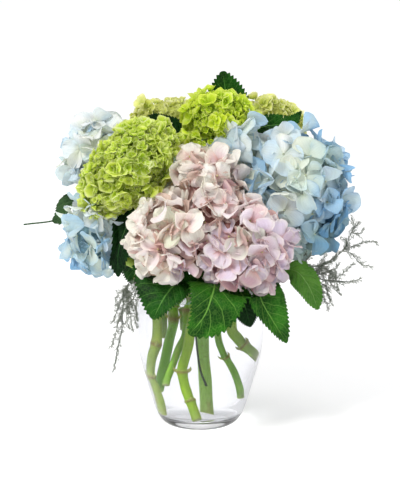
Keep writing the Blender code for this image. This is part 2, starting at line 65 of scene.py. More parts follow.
# ---- flower heads --------------------------------------------------------------
# centre, list of lobes (offset from the centre, radii), tilt about Y in degrees,
# bump height as a share of the radius, number of florets, icosphere level, colour
HEADS = {
    "pink_flower_head": dict(
        centre=(8.0, -44.0, 213.5),
        lobes=[((-5.0, 14.0, 39.0), (38.0, 32.0, 38.0)),
               ((-41.0, -14.0, -14.0), (41.0, 34.0, 41.0)),
               ((37.0, -14.0, -24.0), (46.0, 35.0, 45.0)),
               ((0.0, -6.0, 4.0), (40.0, 36.0, 40.0))],
        tilt=0.0, bump=0.07, florets=60, level=4, colour=(0.80, 0.58, 0.60)),
    "blue_flower_head_right": dict(
        centre=(93.0, 0.0, 236.5), lobes=[((0, 0, 0), (57.0, 48.0, 66.0))],
        tilt=-8.0, bump=0.07, florets=60, level=4, colour=(0.50, 0.68, 0.82)),
    "blue_flower_head_left_upper": dict(
        centre=(-99.0, 24.0, 262.0), lobes=[((0, 0, 0), (45.0, 42.0, 45.0))],
        tilt=0.0, bump=0.07, florets=36, level=3, colour=(0.62, 0.76, 0.86)),
    "blue_flower_head_left_lower": dict(
        centre=(-107.0, -8.0, 191.0), lobes=[((0, 0, 0), (32.0, 36.0, 37.0))],
        tilt=0.0, bump=0.07, florets=30, level=3, colour=(0.50, 0.70, 0.86)),
    "green_flower_head_left": dict(
        centre=(-70.0, -24.0, 264.0), lobes=[((0, 0, 0), (58.0, 32.0, 35.0))],
        tilt=-46.0, bump=0.05, florets=80, level=3, colour=(0.45, 0.64, 0.05)),
    "green_flower_head_top": dict(
        centre=(18.0, 18.0, 308.0), lobes=[((0, 0, 0), (34.0, 30.0, 29.0))],
        tilt=10.0, bump=0.05, florets=60, level=3, colour=(0.50, 0.70, 0.04)),
    "lime_flower_head_back_left": dict(
        centre=(-30.0, 52.0, 304.0), lobes=[((0, 0, 0), (30.0, 26.0, 22.0))],
        tilt=0.0, bump=0.05, florets=50, level=3, colour=(0.62, 0.66, 0.12)),
    "lime_flower_head_back_right": dict(
        centre=(76.0, 61.0, 300.0), lobes=[((0, 0, 0), (36.0, 24.0, 25.0))],
        tilt=26.0, bump=0.05, florets=50, level=3, colour=(0.58, 0.66, 0.12)),
    "blue_flower_head_back": dict(
        centre=(-44.0, 86.0, 218.0), lobes=[((0, 0, 0), (54.0, 42.0, 50.0))],
        tilt=0.0, bump=0.07, florets=40, level=3, colour=(0.56, 0.72, 0.84)),
    "pink_flower_head_back": dict(
        centre=(52.0, 88.0, 217.0), lobes=[((0, 0, 0), (52.0, 42.0, 50.0))],
        tilt=0.0, bump=0.07, florets=40, level=3, colour=(0.80, 0.60, 0.66)),
}

LEAFY_PAIRS = [{"blue_flower_head_right", "lime_flower_head_back_right"}]

# ---- stems: centre line, radius, colour ----------------------------------------
STEMS = {
    "stem_blue_left_lower": dict(
        path=[(-30.5, -4, 14), (-33, -5, 29), (-37, -6, 43), (-41, -7, 54), (-39, -8, 72),
              (-35, -8, 86), (-34, -8, 105), (-38, -8, 128), (-49, -8, 149), (-64, -9, 163),
              (-79, -9, 171)],
        r=4.5, nodes=[2.9, 5.0], head="blue_flower_head_left_lower",
        colour=(0.33, 0.45, 0.10)),
    "stem_blue_left_upper": dict(
        path=[(-28.5, 12, 37), (-27.5, 12, 46), (-25, 12, 64), (-22, 12, 85), (-19, 12, 105),
              (-23, 14, 135), (-40, 18, 170), (-62, 21, 202), (-82, 23, 224)],
        r=3.5, nodes=[4.0], head="blue_flower_head_left_upper", colour=(0.30, 0.50, 0.07)),
    "stem_green_left": dict(
        path=[(-29, -19, 47), (-26.5, -18, 56), (-22, -17, 69), (-17, -15, 84), (-11, -12, 100),
              (-12, -4, 132), (-22, 5, 162), (-34, 4, 196), (-48, -6, 226)],
        r=3.2, nodes=[4.6], head="green_flower_head_left", colour=(0.30, 0.47, 0.08)),
    "stem_pink": dict(
        path=[(-2.5, -29, 12), (-8, -27, 31), (-10, -26, 37), (-13, -25, 49), (-15, -25, 63),
              (-14, -25, 71), (-10, -25, 87), (-7, -26, 110), (-2, -28, 132), (3, -32, 150)],
        r=4.6, nodes=[1.2, 4.0], head="pink_flower_head", colour=(0.36, 0.48, 0.10)),
    "stem_green_top": dict(
        path=[(4.5, 18, 13), (3.6, 15, 48), (2.2, 13, 74), (2, 12, 96), (2, 12, 140),
              (5, 12, 200), (11, 14, 250), (16, 17, 272)],
        r=4.5, nodes=[3.0], head="green_flower_head_top", colour=(0.16, 0.36, 0.14)),
    "stem_lime_back_right": dict(
        path=[(29, 8, 29), (28, 8, 41), (24.6, 7, 57), (19.5, 6, 70), (17, 6, 75), (13, 5, 95),
              (16, 14, 130), (21, 27, 180), (27, 34, 230), (45, 46, 262), (60, 52, 276)],
        r=2.8, nodes=[3.2], head="lime_flower_head_back_right", colour=(0.30, 0.47, 0.10)),
    "stem_blue_right": dict(
        path=[(49.5, -8, 71), (43, -7, 77), (35, -6, 84), (29.5, -6, 91), (24.5, -6, 101),
              (27, -5, 126), (43, -2, 154), (60, 0, 174)],
        r=4.5, nodes=[2.0], head="blue_flower_head_right", colour=(0.33, 0.45, 0.10)),
    "stem_blue_back": dict(
        path=[(-9, 36, 90), (-10, 37, 110), (-13, 39, 131), (-19, 45, 151), (-30, 58, 166)],
        r=3.6, nodes=[1.0], head="blue_flower_head_back", colour=(0.24, 0.40, 0.09)),
    "stem_pink_back": dict(
        path=[(6, 38, 92), (7, 38, 110), (11, 40, 131), (18, 45, 151), (32, 58, 166)],
        r=3.6, nodes=[1.0], head="pink_flower_head_back", colour=(0.24, 0.40, 0.09)),
    "stem_lime_back_left": dict(
        path=[(-24, 31, 86), (-24, 31, 116), (-21, 31, 150), (-18, 32, 200),
              (-21, 38, 250), (-26, 46, 276)],
        r=3.0, nodes=[0.8], head="lime_flower_head_back_left", colour=(0.24, 0.40, 0.09)),
}

# ---- leaves: midrib points, greatest width, face direction, shape ---------------
LEAVES = {
    "leaf_front_left": dict(
        rib=[(-20, -48, 155.5), (-25, -60, 154.5), (-34, -70, 145), (-40, -75, 135), (-45, -78, 125)],
        width=60, face=(-0.15, -0.80, 0.5), teeth=11, cup=0.06, belly=(0.95, 0.62), sides=(0.62, 1.72),
        colour=(0.05, 0.17, 0.04)),
    "leaf_left_inner": dict(
        rib=[(-58, -14, 226), (-72, -26, 206), (-80, -33, 182), (-80, -38, 158)],
        width=36, face=(-0.2, -0.95, 0.1), teeth=9, cup=0.06, colour=(0.03, 0.10, 0.02)),
    "leaf_front_centre": dict(
        rib=[(12, -44, 156), (14, -62, 155.5), (11, -76, 147), (4, -83, 130), (-10.5, -84, 111.5)],
        width=58, face=(0.05, -0.8, 0.5), teeth=11, cup=0.08, belly=(1.25, 0.70), sides=(1.30, 0.95),
        colour=(0.06, 0.22, 0.04)),
    "leaf_front_dark": dict(
        rib=[(40, -56, 143.5), (42, -57, 138), (45, -58, 129), (49, -58, 112.5)],
        width=27, face=(0.15, -0.95, 0.1), teeth=8, cup=0.04, belly=(0.85, 0.85), colour=(0.02, 0.07, 0.02)),
    "leaf_front_right": dict(
        rib=[(49, -44, 156), (55, -58, 153), (60, -67, 139), (70, -70, 122), (84, -66, 98.5)],
        width=40, face=(0.35, -0.9, 0.25), teeth=10, cup=0.08, belly=(0.90, 0.90), sides=(1.34, 0.66),
        colour=(0.08, 0.25, 0.05)),
    "leaf_right_pale": dict(
        rib=[(84, -8, 160), (97, -16, 158), (106, -21, 148), (112, -24, 136), (117, -26, 122)],
        width=34, face=(0.45, -0.85, 0.2), teeth=8, cup=0.06, belly=(0.95, 0.95), colour=(0.14, 0.32, 0.12)),
    "leaf_top": dict(
        rib=[(22, 60, 284), (26, 58, 306), (26, 56, 328), (23, 54, 351)],
        width=56, face=(0.05, -0.98, 0.25), teeth=9, cup=0.08, colour=(0.04, 0.16, 0.03)),
    "leaf_top_right": dict(
        rib=[(48, 34, 286), (62, 36, 296), (78, 35, 299), (91, 33, 301), (102, 31, 313)],
        width=24, face=(-0.1, -0.85, 0.45), teeth=9, cup=0.08, colour=(0.04, 0.15, 0.03)),
    "leaf_between_greens": dict(
        rib=[(-14, 20, 280), (-24, 20, 293), (-38, 14, 303), (-51, 6, 311)],
        width=28, face=(0.0, -0.8, 0.6), teeth=8, cup=0.08, colour=(0.03, 0.11, 0.02)),
    "leaf_left_narrow": dict(
        rib=[(-112, 16, 232), (-128, 8, 222), (-142, 2, 208), (-176, 0, 203)],
        width=24, face=(-0.3, -0.9, 0.35), teeth=8, cup=0.25, colour=(0.07, 0.14, 0.07),
        tail=True),
    "leaf_back_left": dict(
        rib=[(-44, 52, 157), (-56, 66, 156), (-66, 80, 146), (-72, 90, 122)],
        width=50, face=(-0.5, 0.8, 0.4), teeth=9, cup=0.08, colour=(0.05, 0.18, 0.04)),
    "leaf_back_right": dict(
        rib=[(40, 56, 157), (52, 70, 156), (62, 84, 146), (68, 93, 120)],
        width=50, face=(0.5, 0.8, 0.4), teeth=9, cup=0.08, colour=(0.05, 0.18, 0.04)),
    "leaf_back_top": dict(
        rib=[(8, 62, 268), (8, 82, 272), (7, 104, 268), (6, 124, 254)],
        width=46, face=(0.0, 0.35, 0.95), teeth=9, cup=0.08, colour=(0.05, 0.18, 0.04)),
}

# ---- sea lavender sprigs: main stalk, side branches ------------------------------
SPRIGS = {
    "sprig_right_upper": dict(
        stalk=[(40, 12, 128), (50, 16, 148), (66, 17, 157), (92, 6, 157), (120, -5, 163),
               (142, -8, 178), (150, -8, 196), (158, -9, 208)],
        twigs=[(5, (152, -4, 182), (172, 0, 186), (177, 2, 182)),
               (5, (150, -12, 176), (160, -14, 166), (172, -14, 163)),
               (6, (158, -11, 196), (162, -12, 202)),
               (4, (124, -10, 150), (129, -14, 130), (132, -14, 123)),
               (4, (134, -14, 152), (138, -18, 140))],
        colour=(0.22, 0.24, 0.21)),
    "sprig_right_lower": dict(
        stalk=[(70, 12, 142), (82, 10, 150), (97, 6, 152), (113, 0, 150), (129, -7, 147),
               (150, -14, 148), (160, -16, 152)],
        twigs=[(3, (120, -4, 134), (126, -7, 124)),
               (4, (141, -16, 156), (152, -20, 168)),
               (2, (106, 2, 141), (112, 0, 133))],
        colour=(0.24, 0.25, 0.22)),
    "sprig_left": dict(
        stalk=[(5, -8, 46), (0, -8, 64), (-3, -10, 92), (-4, -13, 120), (-11, -19, 146), (-32, -33, 156),
               (-58, -40, 158), (-72, -34, 148), (-76, -30, 126), (-78, -28, 98),
               (-82, -26, 82), (-86, -26, 60)],
        twigs=[(6, (-80, -34, 140), (-84, -34, 128)),
               (7, (-68, -40, 116), (-66, -42, 104)),
               (7, (-84, -28, 116), (-88, -28, 108)),
               (8, (-86, -30, 92), (-90, -30, 84))],
        colour=(0.22, 0.24, 0.21)),
}

# ---- camera --------------------------------------------------------------------
ELEVATION = math.radians(11.5)
DISTANCE = 1.6
AIM = Vector((0.0, 0.0, 0.1772))


def make_camera():
    data = bpy.data.cameras.new("camera")
    data.sensor_width = 36.0
    data.sensor_fit = "AUTO"
    data.lens = 115.2
    data.clip_start = 0.05
    data.clip_end = 100.0
    cam = bpy.data.objects.new("camera", data)
    back = Vector((0.0, -math.cos(ELEVATION), math.sin(ELEVATION)))
    cam.location = AIM + back * DISTANCE
    cam.rotation_mode = "QUATERNION"
    cam.rotation_quaternion = (-back).to_track_quat("-Z", "Y")
    bpy.context.scene.collection.objects.link(cam)
    bpy.context.scene.camera = cam


# ---- small tools ---------------------------------------------------------------
def lin(r, g, b):
    """sRGB 0..255 to linear."""
    out = []
    for c in (r, g, b):
        c = c / 255.0
        out.append(c / 12.92 if c <= 0.04045 else ((c + 0.055) / 1.055) ** 2.4)
    return np.array(out)


class Graph:
    """Short names for building node materials."""

    def __init__(self, name):
        self.mat = bpy.data.materials.new(name)
        self.mat.use_nodes = True
        self.t = self.mat.node_tree
        self.bsdf = self.t.nodes["Principled BSDF"]
        self.out = self.t.nodes["Material Output"]

    def node(self, kind, **inputs):
        n = self.t.nodes.new("ShaderNode" + kind)
        for key, value in inputs.items():
            if key.startswith("_"):
                setattr(n, key[1:], value)
            else:
                self.put(n.inputs[key.replace("__", " ")], value)
        return n

    def put(self, socket, value):
        if isinstance(value, bpy.types.NodeSocket):
            self.t.links.new(value, socket)
        else:
            socket.default_value = value

    def math(self, op, a, b=0.0, c=0.0, clamp=False):
        n = self.t.nodes.new("ShaderNodeMath")
        n.operation = op
        n.use_clamp = clamp
        self.put(n.inputs[0], a)
        self.put(n.inputs[1], b)
        self.put(n.inputs[2], c)
        return n.outputs[0]

    def ramp(self, value, lo, hi, to_lo=0.0, to_hi=1.0, smooth=True):
        n = self.t.nodes.new("ShaderNodeMapRange")
        n.interpolation_type = "SMOOTHSTEP" if smooth else "LINEAR"
        n.clamp = True
        self.put(n.inputs["Value"], value)
        n.inputs["From Min"].default_value = lo
        n.inputs["From Max"].default_value = hi
        n.inputs["To Min"].default_value = to_lo
        n.inputs["To Max"].default_value = to_hi
        return n.outputs["Result"]

    def mix(self, fac, a, b, blend="MIX"):
        n = self.t.nodes.new("ShaderNodeMix")
        n.data_type = "RGBA"
        n.blend_type = blend
        self.put(n.inputs["Factor"], fac)
        self.put(n.inputs["A"], a)
        self.put(n.inputs["B"], b)
        return n.outputs["Result"]

    def noise(self, vector, scale, detail=2.0, rough=0.5):
        n = self.t.nodes.new("ShaderNodeTexNoise")
        self.put(n.inputs["Vector"], vector)
        n.inputs["Scale"].default_value = scale
        n.inputs["Detail"].default_value = detail
        n.inputs["Roughness"].default_value = rough
        return n.outputs["Fac"]

    def uv(self, name):
        n = self.t.nodes.new("ShaderNodeUVMap")
        n.uv_map = name
        s = self.t.nodes.new("ShaderNodeSeparateXYZ")
        self.t.links.new(n.outputs["UV"], s.inputs[0])
        return n.outputs["UV"], s.outputs["X"], s.outputs["Y"]

    def obj(self):
        return self.t.nodes.new("ShaderNodeTexCoord").outputs["Object"]

    def attr(self, name):
        n = self.t.nodes.new("ShaderNodeAttribute")
        n.attribute_name = name
        return n.outputs["Color"], n.outputs["Fac"]

    def bump(self, height, distance, strength=1.0):
        n = self.t.nodes.new("ShaderNodeBump")
        self.put(n.inputs["Height"], height)
        n.inputs["Distance"].default_value = distance
        n.inputs["Strength"].default_value = strength
        return n.outputs["Normal"]


def rgba(c):
    return (float(c[0]), float(c[1]), float(c[2]), 1.0)


def mesh_object(name, verts, faces, mat, colours=None, uvs=None, smooth=True, replaces=()):
    """verts in mm, faces as an (n, 4) or (n, 3) array, uvs a dict of per-vertex pairs."""
    mesh = bpy.data.meshes.new(name)
    v = np.asarray(verts, dtype=np.float64) * MM
    f = np.asarray(faces)
    mesh.vertices.add(len(v))
    mesh.vertices.foreach_set("co", v.astype(np.float32).ravel())
    k = f.shape[1]
    mesh.loops.add(f.size)
    mesh.loops.foreach_set("vertex_index", f.ravel().astype(np.int32))
    mesh.polygons.add(len(f))
    mesh.polygons.foreach_set("loop_start", np.arange(0, f.size, k, dtype=np.int32))
    mesh.polygons.foreach_set("use_smooth", np.full(len(f), smooth))
    if uvs:
        for uname, pairs in uvs.items():
            layer = mesh.uv_layers.new(name=uname)
            layer.data.foreach_set("uv", np.asarray(pairs, dtype=np.float32)[f.ravel()].ravel())
    if colours is not None:
        layer = mesh.color_attributes.new("Col", "FLOAT_COLOR", "POINT")
        c = np.ones((len(v), 4), dtype=np.float32)
        c[:, :3] = colours
        layer.data.foreach_set("color", c.ravel())
    mesh.update(calc_edges=True)
    mesh.validate()
    mesh.materials.append(mat)
    o = bpy.data.objects.new(name, mesh)
    bpy.context.scene.collection.objects.link(o)
    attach(o, "root")
    if replaces:
        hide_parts(*replaces)
    return o


class Bag:
    """Collects pieces of mesh that become one object."""

    def __init__(self):
        self.v, self.f, self.c, self.u, self.w = [], [], [], [], []
        self.n = 0

    def add(self, v, f, c, u=None, w=None):
        v = np.asarray(v, dtype=np.float64).reshape(-1, 3)
        self.v.append(v)
        self.f.append(np.asarray(f) + self.n)
        c = np.asarray(c, dtype=np.float64)
        self.c.append(np.broadcast_to(c, (len(v), 3)))
        self.u.append(np.zeros((len(v), 2)) if u is None else np.asarray(u).reshape(-1, 2))
        self.w.append(np.zeros((len(v), 2)) if w is None else np.asarray(w).reshape(-1, 2))
        self.n += len(v)

    def all(self):
        return (np.concatenate(self.v), np.concatenate(self.f), np.concatenate(self.c),
                np.concatenate(self.u), np.concatenate(self.w))


def grid_faces(nu, nv, closed=False):
    """Quads of an nu by nv grid of points, row by row; closed joins the last column to the first."""
    i, j = np.meshgrid(np.arange(nu - 1), np.arange(nv if closed else nv - 1), indexing="ij")
    a = i * nv + j
    b = i * nv + (j + 1) % nv
    c = (i + 1) * nv + (j + 1) % nv
    d = (i + 1) * nv + j
    return np.stack([a, b, c, d], -1).reshape(-1, 4)


def repeat_faces(f, verts_each, count):
    return (f[None] + (np.arange(count) * verts_each)[:, None, None]).reshape(-1, f.shape[1])


def unit(a):
    return a / np.maximum(1e-9, np.linalg.norm(a, axis=-1, keepdims=True))


def catmull(points, per_span):
    pts = [np.array(p, float) for p in points]
    ext = [2 * pts[0] - pts[1]] + pts + [2 * pts[-1] - pts[-2]]
    out = []
    for i in range(1, len(ext) - 2):
        p0, p1, p2, p3 = ext[i - 1:i + 3]
        for s in range(per_span):
            t = s / per_span
            out.append(0.5 * (2 * p1 + (p2 - p0) * t + (2 * p0 - 5 * p1 + 4 * p2 - p3) * t * t
                              + (3 * p1 - p0 - 3 * p2 + p3) * t ** 3))
    out.append(pts[-1])
    return np.array(out)


def tube_mesh(path, radii, sides, cap=False):
    """Rings of points round a path, turned as little as possible."""
    path = np.asarray(path, float)
    n = len(path)
    radii = np.broadcast_to(np.asarray(radii, float), (n,))
    tang = unit(np.gradient(path, axis=0))
    side = np.cross(tang[0], [0.3, 0.5, 0.81])
    side = side / np.linalg.norm(side)
    v = np.zeros((n, sides, 3))
    a = np.arange(sides) * 2 * np.pi / sides
    for i in range(n):
        side = side - tang[i] * side.dot(tang[i])
        side /= np.linalg.norm(side)
        up = np.cross(tang[i], side)
        v[i] = path[i] + radii[i] * (np.cos(a)[:, None] * side + np.sin(a)[:, None] * up)
    f = grid_faces(n, sides, closed=True)
    v = v.reshape(-1, 3)
    if cap:
        v = np.concatenate([v, path[:1], path[-1:]])
        k = np.arange(sides)
        lo, hi = n * sides, n * sides + 1
        last = (n - 1) * sides
        c0 = np.stack([np.full(sides, lo), (k + 1) % sides, k, np.full(sides, lo)], -1)
        c1 = np.stack([np.full(sides, hi), last + k, last + (k + 1) % sides, np.full(sides, hi)], -1)
        return v, f, c0[:, :3], c1[:, :3]
    return v, f


# ---- flower head shapes ----------------------------------------------------------
class Shape:
    """The same distance-from-centre shape as the solid head, worked on many directions at once."""

    def __init__(self, name):
        spec = HEADS[name]
        self.name = name
        self.c = np.array(spec["centre"], float)
        a = math.radians(spec["tilt"])
        self.back = np.array([[math.cos(a), 0, math.sin(a)], [0, 1, 0], [-math.sin(a), 0, math.cos(a)]]).T
        self.lobes = [(self.back @ np.array(o, float), np.array(r, float)) for o, r in spec["lobes"]]
        self.planes = []

    def base(self, d):
        q = d @ self.back.T
        best = np.full(len(d), 4.0)
        for o, r in self.lobes:
            a = ((q / r) ** 2).sum(1)
            b = -2 * (q * o / r ** 2).sum(1)
            c = ((o / r) ** 2).sum() - 1
            disc = b * b - 4 * a * c
            s = np.where(disc > 0, (-b + np.sqrt(np.maximum(disc, 0))) / (2 * a), 0)
            best = np.maximum(best, s)
        return best

    def radius(self, d, grow=0.0, scale=1.0, slack=0.0):
        r = self.base(d) * scale + grow
        for n, dist in self.planes:
            k = d @ n
            lim = np.where(k > 1e-6, (dist + slack) / np.maximum(k, 1e-6), 1e9)
            r = np.minimum(r, lim)
        for _ in range(160):
            p = self.c + d * r[:, None]
            over = np.hypot(p[:, 0], p[:, 1]) < 70.0
            low = p[:, 2] < np.where(over, 160.0, 138.0) - slack
            if not low.any():
                break
            r = np.where(low, r * 0.985, r)
        return r


def fib(count):
    i = np.arange(count)
    z = 1 - 2 * (i + 0.5) / count
    a = i * math.pi * (3 - math.sqrt(5))
    s = np.sqrt(1 - z * z)
    return np.stack([s * np.cos(a), s * np.sin(a), z], -1)


def shapes():
    out = {name: Shape(name) for name in HEADS}
    names = list(out)
    for i, na in enumerate(names):
        for nb in names[i + 1:]:
            a, b = out[na], out[nb]
            way = b.c - a.c
            dist = np.linalg.norm(way)
            n = way / dist
            dirs = fib(300)
            ra = ((dirs @ n) * a.base(dirs)).max() * 1.09
            rb = ((dirs @ -n) * b.base(dirs)).max() * 1.09
            if ra + rb < dist:
                continue
            cut = dist * ra / (ra + rb)
            a.planes.append((n, cut))
            b.planes.append((-n, dist - cut))
    for name, spec in STEMS.items():
        s = out[spec["head"]]
        top = np.array(spec["path"][-1], float)
        n = unit(top - s.c)
        s.planes.append((n, (top - s.c) @ n - 1.0))
        s.root = top
        s.down = n
    return out


def spread(shape, spacing, rng, grow=0.0, scale=1.0, slack=3.0, skip_under=0.86, tries=3200):
    """Points on the head at least `spacing` apart, with outward normals."""
    d = fib(tries)
    d = unit(d + rng.normal(0, 0.02, d.shape))
    r = shape.radius(d, grow, scale, slack)
    p = shape.c + d * r[:, None]
    # normals from small steps sideways
    t1 = unit(np.cross(d, [0.21, 0.33, 0.92]))
    t2 = np.cross(d, t1)
    e = 0.12
    def pt(q):
        q = unit(q)
        return shape.c + q * shape.radius(q, grow, scale, slack)[:, None]
    n = unit(np.cross(pt(d + e * t1) - pt(d - e * t1), pt(d + e * t2) - pt(d - e * t2)))
    n = np.where((n * d).sum(1, keepdims=True) < 0, -n, n)
    n = unit(n * 0.75 + d * 0.25)
    keep = []
    order = rng.permutation(tries)
    under = (d @ shape.down) > skip_under
    for i in order:
        if under[i]:
            continue
        if keep and (np.linalg.norm(p[keep] - p[i], axis=1) < spacing).any():
            continue
        keep.append(i)
    keep = np.array(keep)
    return p[keep], n[keep], d[keep]


def turn_frames(n, rng, tilt):
    """A frame for each floret: its face is the normal tilted at random, spun at random."""
    k = len(n)
    n = unit(n + rng.normal(0, tilt, n.shape))
    ref = np.where(np.abs(n[:, 2:3]) < 0.9, [[0, 0, 1.0]], [[1.0, 0, 0]])
    x = unit(np.cross(ref, n))
    y = np.cross(n, x)
    a = rng.uniform(0, 2 * np.pi, k)[:, None]
    return x * np.cos(a) + y * np.sin(a), -x * np.sin(a) + y * np.cos(a), n


def big_florets(p, n, rng, size, tilt, colour_of, nu=9, nv=9, cells=None, cup=(0.0, 0.5), lift=(-0.1, 0.5),
                bend=(-0.7, 0.5), ruffle=0.9, fold=0.15, vary=(0.80, 1.12)):
    """Four broad, wavy sepals round a bead for each floret. Returns arrays for a Bag."""
    k = len(p)
    X, Y, Z = turn_frames(n, rng, tilt)
    petals = 4
    m = k * petals
    which = np.repeat(np.arange(k), petals)
    power = vary[2] if len(vary) > 2 else 1.0
    grow = (vary[0] + (vary[1] - vary[0]) * rng.uniform(0, 1, k) ** power)[which]
    full = size / 20.0
    L = size * grow * rng.uniform(0.84, 1.10, m)
    W = size * grow * rng.uniform(0.46, 0.62, m)
    phi = (np.tile(np.arange(petals), k) * np.pi / 2 + rng.normal(0, 0.13, m))
    layer = np.where(np.tile(np.arange(petals), k) % 2 == 0, 0.0, 0.7 * full)
    th0 = rng.uniform(lift[0], lift[1], k)[which] + rng.normal(0, 0.20, m)
    kap = rng.uniform(bend[0], bend[1], k)[which] + rng.normal(0, 0.38, m)
    tip = rng.normal(0.0, 0.45, m)
    cupm = rng.uniform(cup[0], cup[1], m)
    folded = rng.uniform(0, 1, m) < fold
    cupm = np.where(folded, rng.uniform(0.9, 1.7, m) * np.where(rng.uniform(0, 1, m) < 0.75, 1, -1), cupm)
    roll = rng.uniform(-0.35, 0.40, m)
    amp = ruffle * rng.uniform(0.3, 1.3, m)
    freq = rng.uniform(2.0, 4.2, m)
    ph = rng.uniform(0, 2 * np.pi, m)
    ph2 = rng.uniform(0, 2 * np.pi, m)
    twist = rng.normal(0, 0.28, m)
    skew = rng.normal(0, 0.12, m)
    ea, eb = rng.uniform(0.98, 1.34, m), rng.uniform(0.46, 0.74, m)
    u = np.linspace(0.0, 1.0, nu)
    v = np.linspace(-1.0, 1.0, nv)
    f = np.sin(np.pi * np.clip(u, 0.012, 0.988)[None] ** ea[:, None]) ** eb[:, None]
    f = f * (1 + 0.05 * np.sin(u[None] * 13.0 + ph2[:, None]))
    U = u[None, :, None] * np.ones((m, 1, nv))
    V = v[None, None, :] * np.ones((m, nu, 1))
    F = f[:, :, None] * np.ones((m, 1, nv))
    e = lambda a: a[:, None, None]
    # the sepal's middle line bends evenly, and its tip a little more
    bendy = th0[:, None] + kap[:, None] * u[None] + tip[:, None] * u[None] ** 3
    halfway = 0.5 * (bendy[:, 1:] + bendy[:, :-1])
    zero = np.zeros((m, 1))
    yl = np.concatenate([zero, np.cumsum(np.cos(halfway), axis=1)], axis=1) / (nu - 1) * L[:, None]
    zl = np.concatenate([zero, np.cumsum(np.sin(halfway), axis=1)], axis=1) / (nu - 1) * L[:, None]
    ang = bendy[:, :, None]
    yy = 0.8 * full + yl[:, :, None] * np.ones((1, 1, nv))
    zz = zl[:, :, None] * np.ones((1, 1, nv))
    xx = e(W) * F * V + e(L) * e(skew) * U * U
    edge = np.abs(V) ** 2 * F
    wave = e(amp) * (edge + 0.5 * U ** 3) * np.sin(e(freq) * (U * 3.1 + V * 1.9) + e(ph))
    crinkle = 0.34 * full * (np.abs(V) ** 3 * F + U ** 4) * np.sin(U * 10.0 + V * 8.0 + e(ph2))
    dd = e(cupm) * e(W) * V ** 2 * F * 0.8 + wave + crinkle + e(twist) * xx
    dd = dd + e(roll) * e(W) * np.abs(V) ** 5 * F
    # a folded sepal also draws its sides in
    xx = xx * (1 - 0.28 * np.clip(np.abs(e(cupm)) - 0.7, 0, 1) * np.abs(V))
    # thin crease down the middle of the sepal
    dd = dd - 0.25 * full * np.exp(-(V / 0.22) ** 2) * F
    yy = yy - np.sin(ang) * dd
    zz = zz + np.cos(ang) * dd + e(layer)
    cs, sn = e(np.cos(phi)), e(np.sin(phi))
    lx = xx * cs - yy * sn
    ly = xx * sn + yy * cs
    P = (p[which][:, None, None] + lx[..., None] * X[which][:, None, None]
         + ly[..., None] * Y[which][:, None, None] + zz[..., None] * Z[which][:, None, None])
    col = colour_of(p[which], which, U, V, F, rng, P)
    G = int(math.ceil(math.sqrt(m))) if cells is None else cells
    ci, cj = (np.arange(m) % G), (np.arange(m) // G)
    uu = (e(ci) + 0.08 + 0.84 * (0.5 + 0.5 * V * np.maximum(F, 0.25))) / G
    vv = (e(cj) + 0.08 + 0.84 * U) / G
    faces = repeat_faces(grid_faces(nu, nv), nu * nv, m)
    return (P.reshape(-1, 3), faces, col.reshape(-1, 3), np.stack([uu, vv], -1).reshape(-1, 2),
            np.stack([V * 0.5 + 0.5, U], -1).reshape(-1, 2), X, Y, Z)


def bead(p, n, radius, colour, rng):
    """Tiny closed buds in the middle of florets: a squashed six-sided bead with three rings."""
    k = len(p)
    ref = np.where(np.abs(n[:, 2:3]) < 0.9, [[0, 0, 1.0]], [[1.0, 0, 0]])
    x = unit(np.cross(ref, n))
    y = np.cross(n, x)
    ring = np.arange(6) * np.pi / 3
    prof = [(0.55, -0.5), (1.0, 0.25), (0.75, 0.95), (0.12, 1.3)]
    r = radius * rng.uniform(0.8, 1.2, k)
    v = np.zeros((k, len(prof), 6, 3))
    for i, (a, h) in enumerate(prof):
        v[:, i] = (p[:, None] + (r * a)[:, None, None] * (np.cos(ring)[None, :, None] * x[:, None]
                   + np.sin(ring)[None, :, None] * y[:, None]) + (r * h)[:, None, None] * n[:, None])
    f = repeat_faces(grid_faces(len(prof), 6, closed=True), len(prof) * 6, k)
    c = np.repeat(np.asarray(colour)[None] * rng.uniform(0.85, 1.1, (k, 1)), len(prof) * 6, axis=0)
    return v.reshape(-1, 3), f, c


def vnoise(p, scale, seed=0.0):
    """Smooth noise at points, about -1 to 1."""
    return np.array([noise.noise(Vector(q) * scale + Vector((seed, seed * 1.7, -seed))) for q in p])


def stalks(shape, ends, name, colour, dark, core_scale=0.64, rng=None, core_lump=3.0):
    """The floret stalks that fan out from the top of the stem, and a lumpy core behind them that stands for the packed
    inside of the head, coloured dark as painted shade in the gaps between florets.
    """
    bag = Bag()
    root = shape.root - shape.down * 2.0
    hub = root * 0.55 + shape.c * 0.45
    for q in ends:
        j = hub + rng.normal(0, 3.0, 3)
        path = catmull([root, j, j * 0.45 + q * 0.55 + rng.normal(0, 1.5, 3), q], 2)
        v, f = tube_mesh(path, np.linspace(1.3, 0.55, len(path)), 4)
        t = np.linspace(0, 1, len(path)).repeat(4)[:, None]
        bag.add(v, f, colour * (1 - 0.25 * t))
    # packed inside of the head: a lumpy core whose dark colour is painted shade seen through the gaps between florets
    d = fib(1500)
    bm = bmesh.new()
    bmesh.ops.create_icosphere(bm, subdivisions=5, radius=1.0)
    dirs = np.array([v.co.normalized()[:] for v in bm.verts])
    tri = np.array([[v.index for v in f.verts] for f in bm.faces])
    bm.free()
    r = shape.radius(dirs, 0.0, core_scale, -2.0)
    p = shape.c + dirs * r[:, None]
    lump = vnoise(p, 0.12, 3.0) * core_lump + vnoise(p, 0.3, 9.0) * core_lump * 0.5
    r = np.minimum(r + lump, shape.radius(dirs, 0.0, 1.0, -2.0) * 0.9)
    p = shape.c + dirs * r[:, None]
    shade = (0.75 + 0.35 * vnoise(p, 0.2, 5.0))[:, None]
    quads = np.concatenate([tri, tri[:, 2:3]], 1)
    bag.add(p, quads, dark * shade)
    v, f, c, _, _ = bag.all()
    keep4 = f[:, 2] != f[:, 3]
    # quads and triangles are kept apart by the mesh builder below
    return mixed_object(name, v, f[keep4], f[~keep4][:, :3], MATERIALS["stalk"], c)


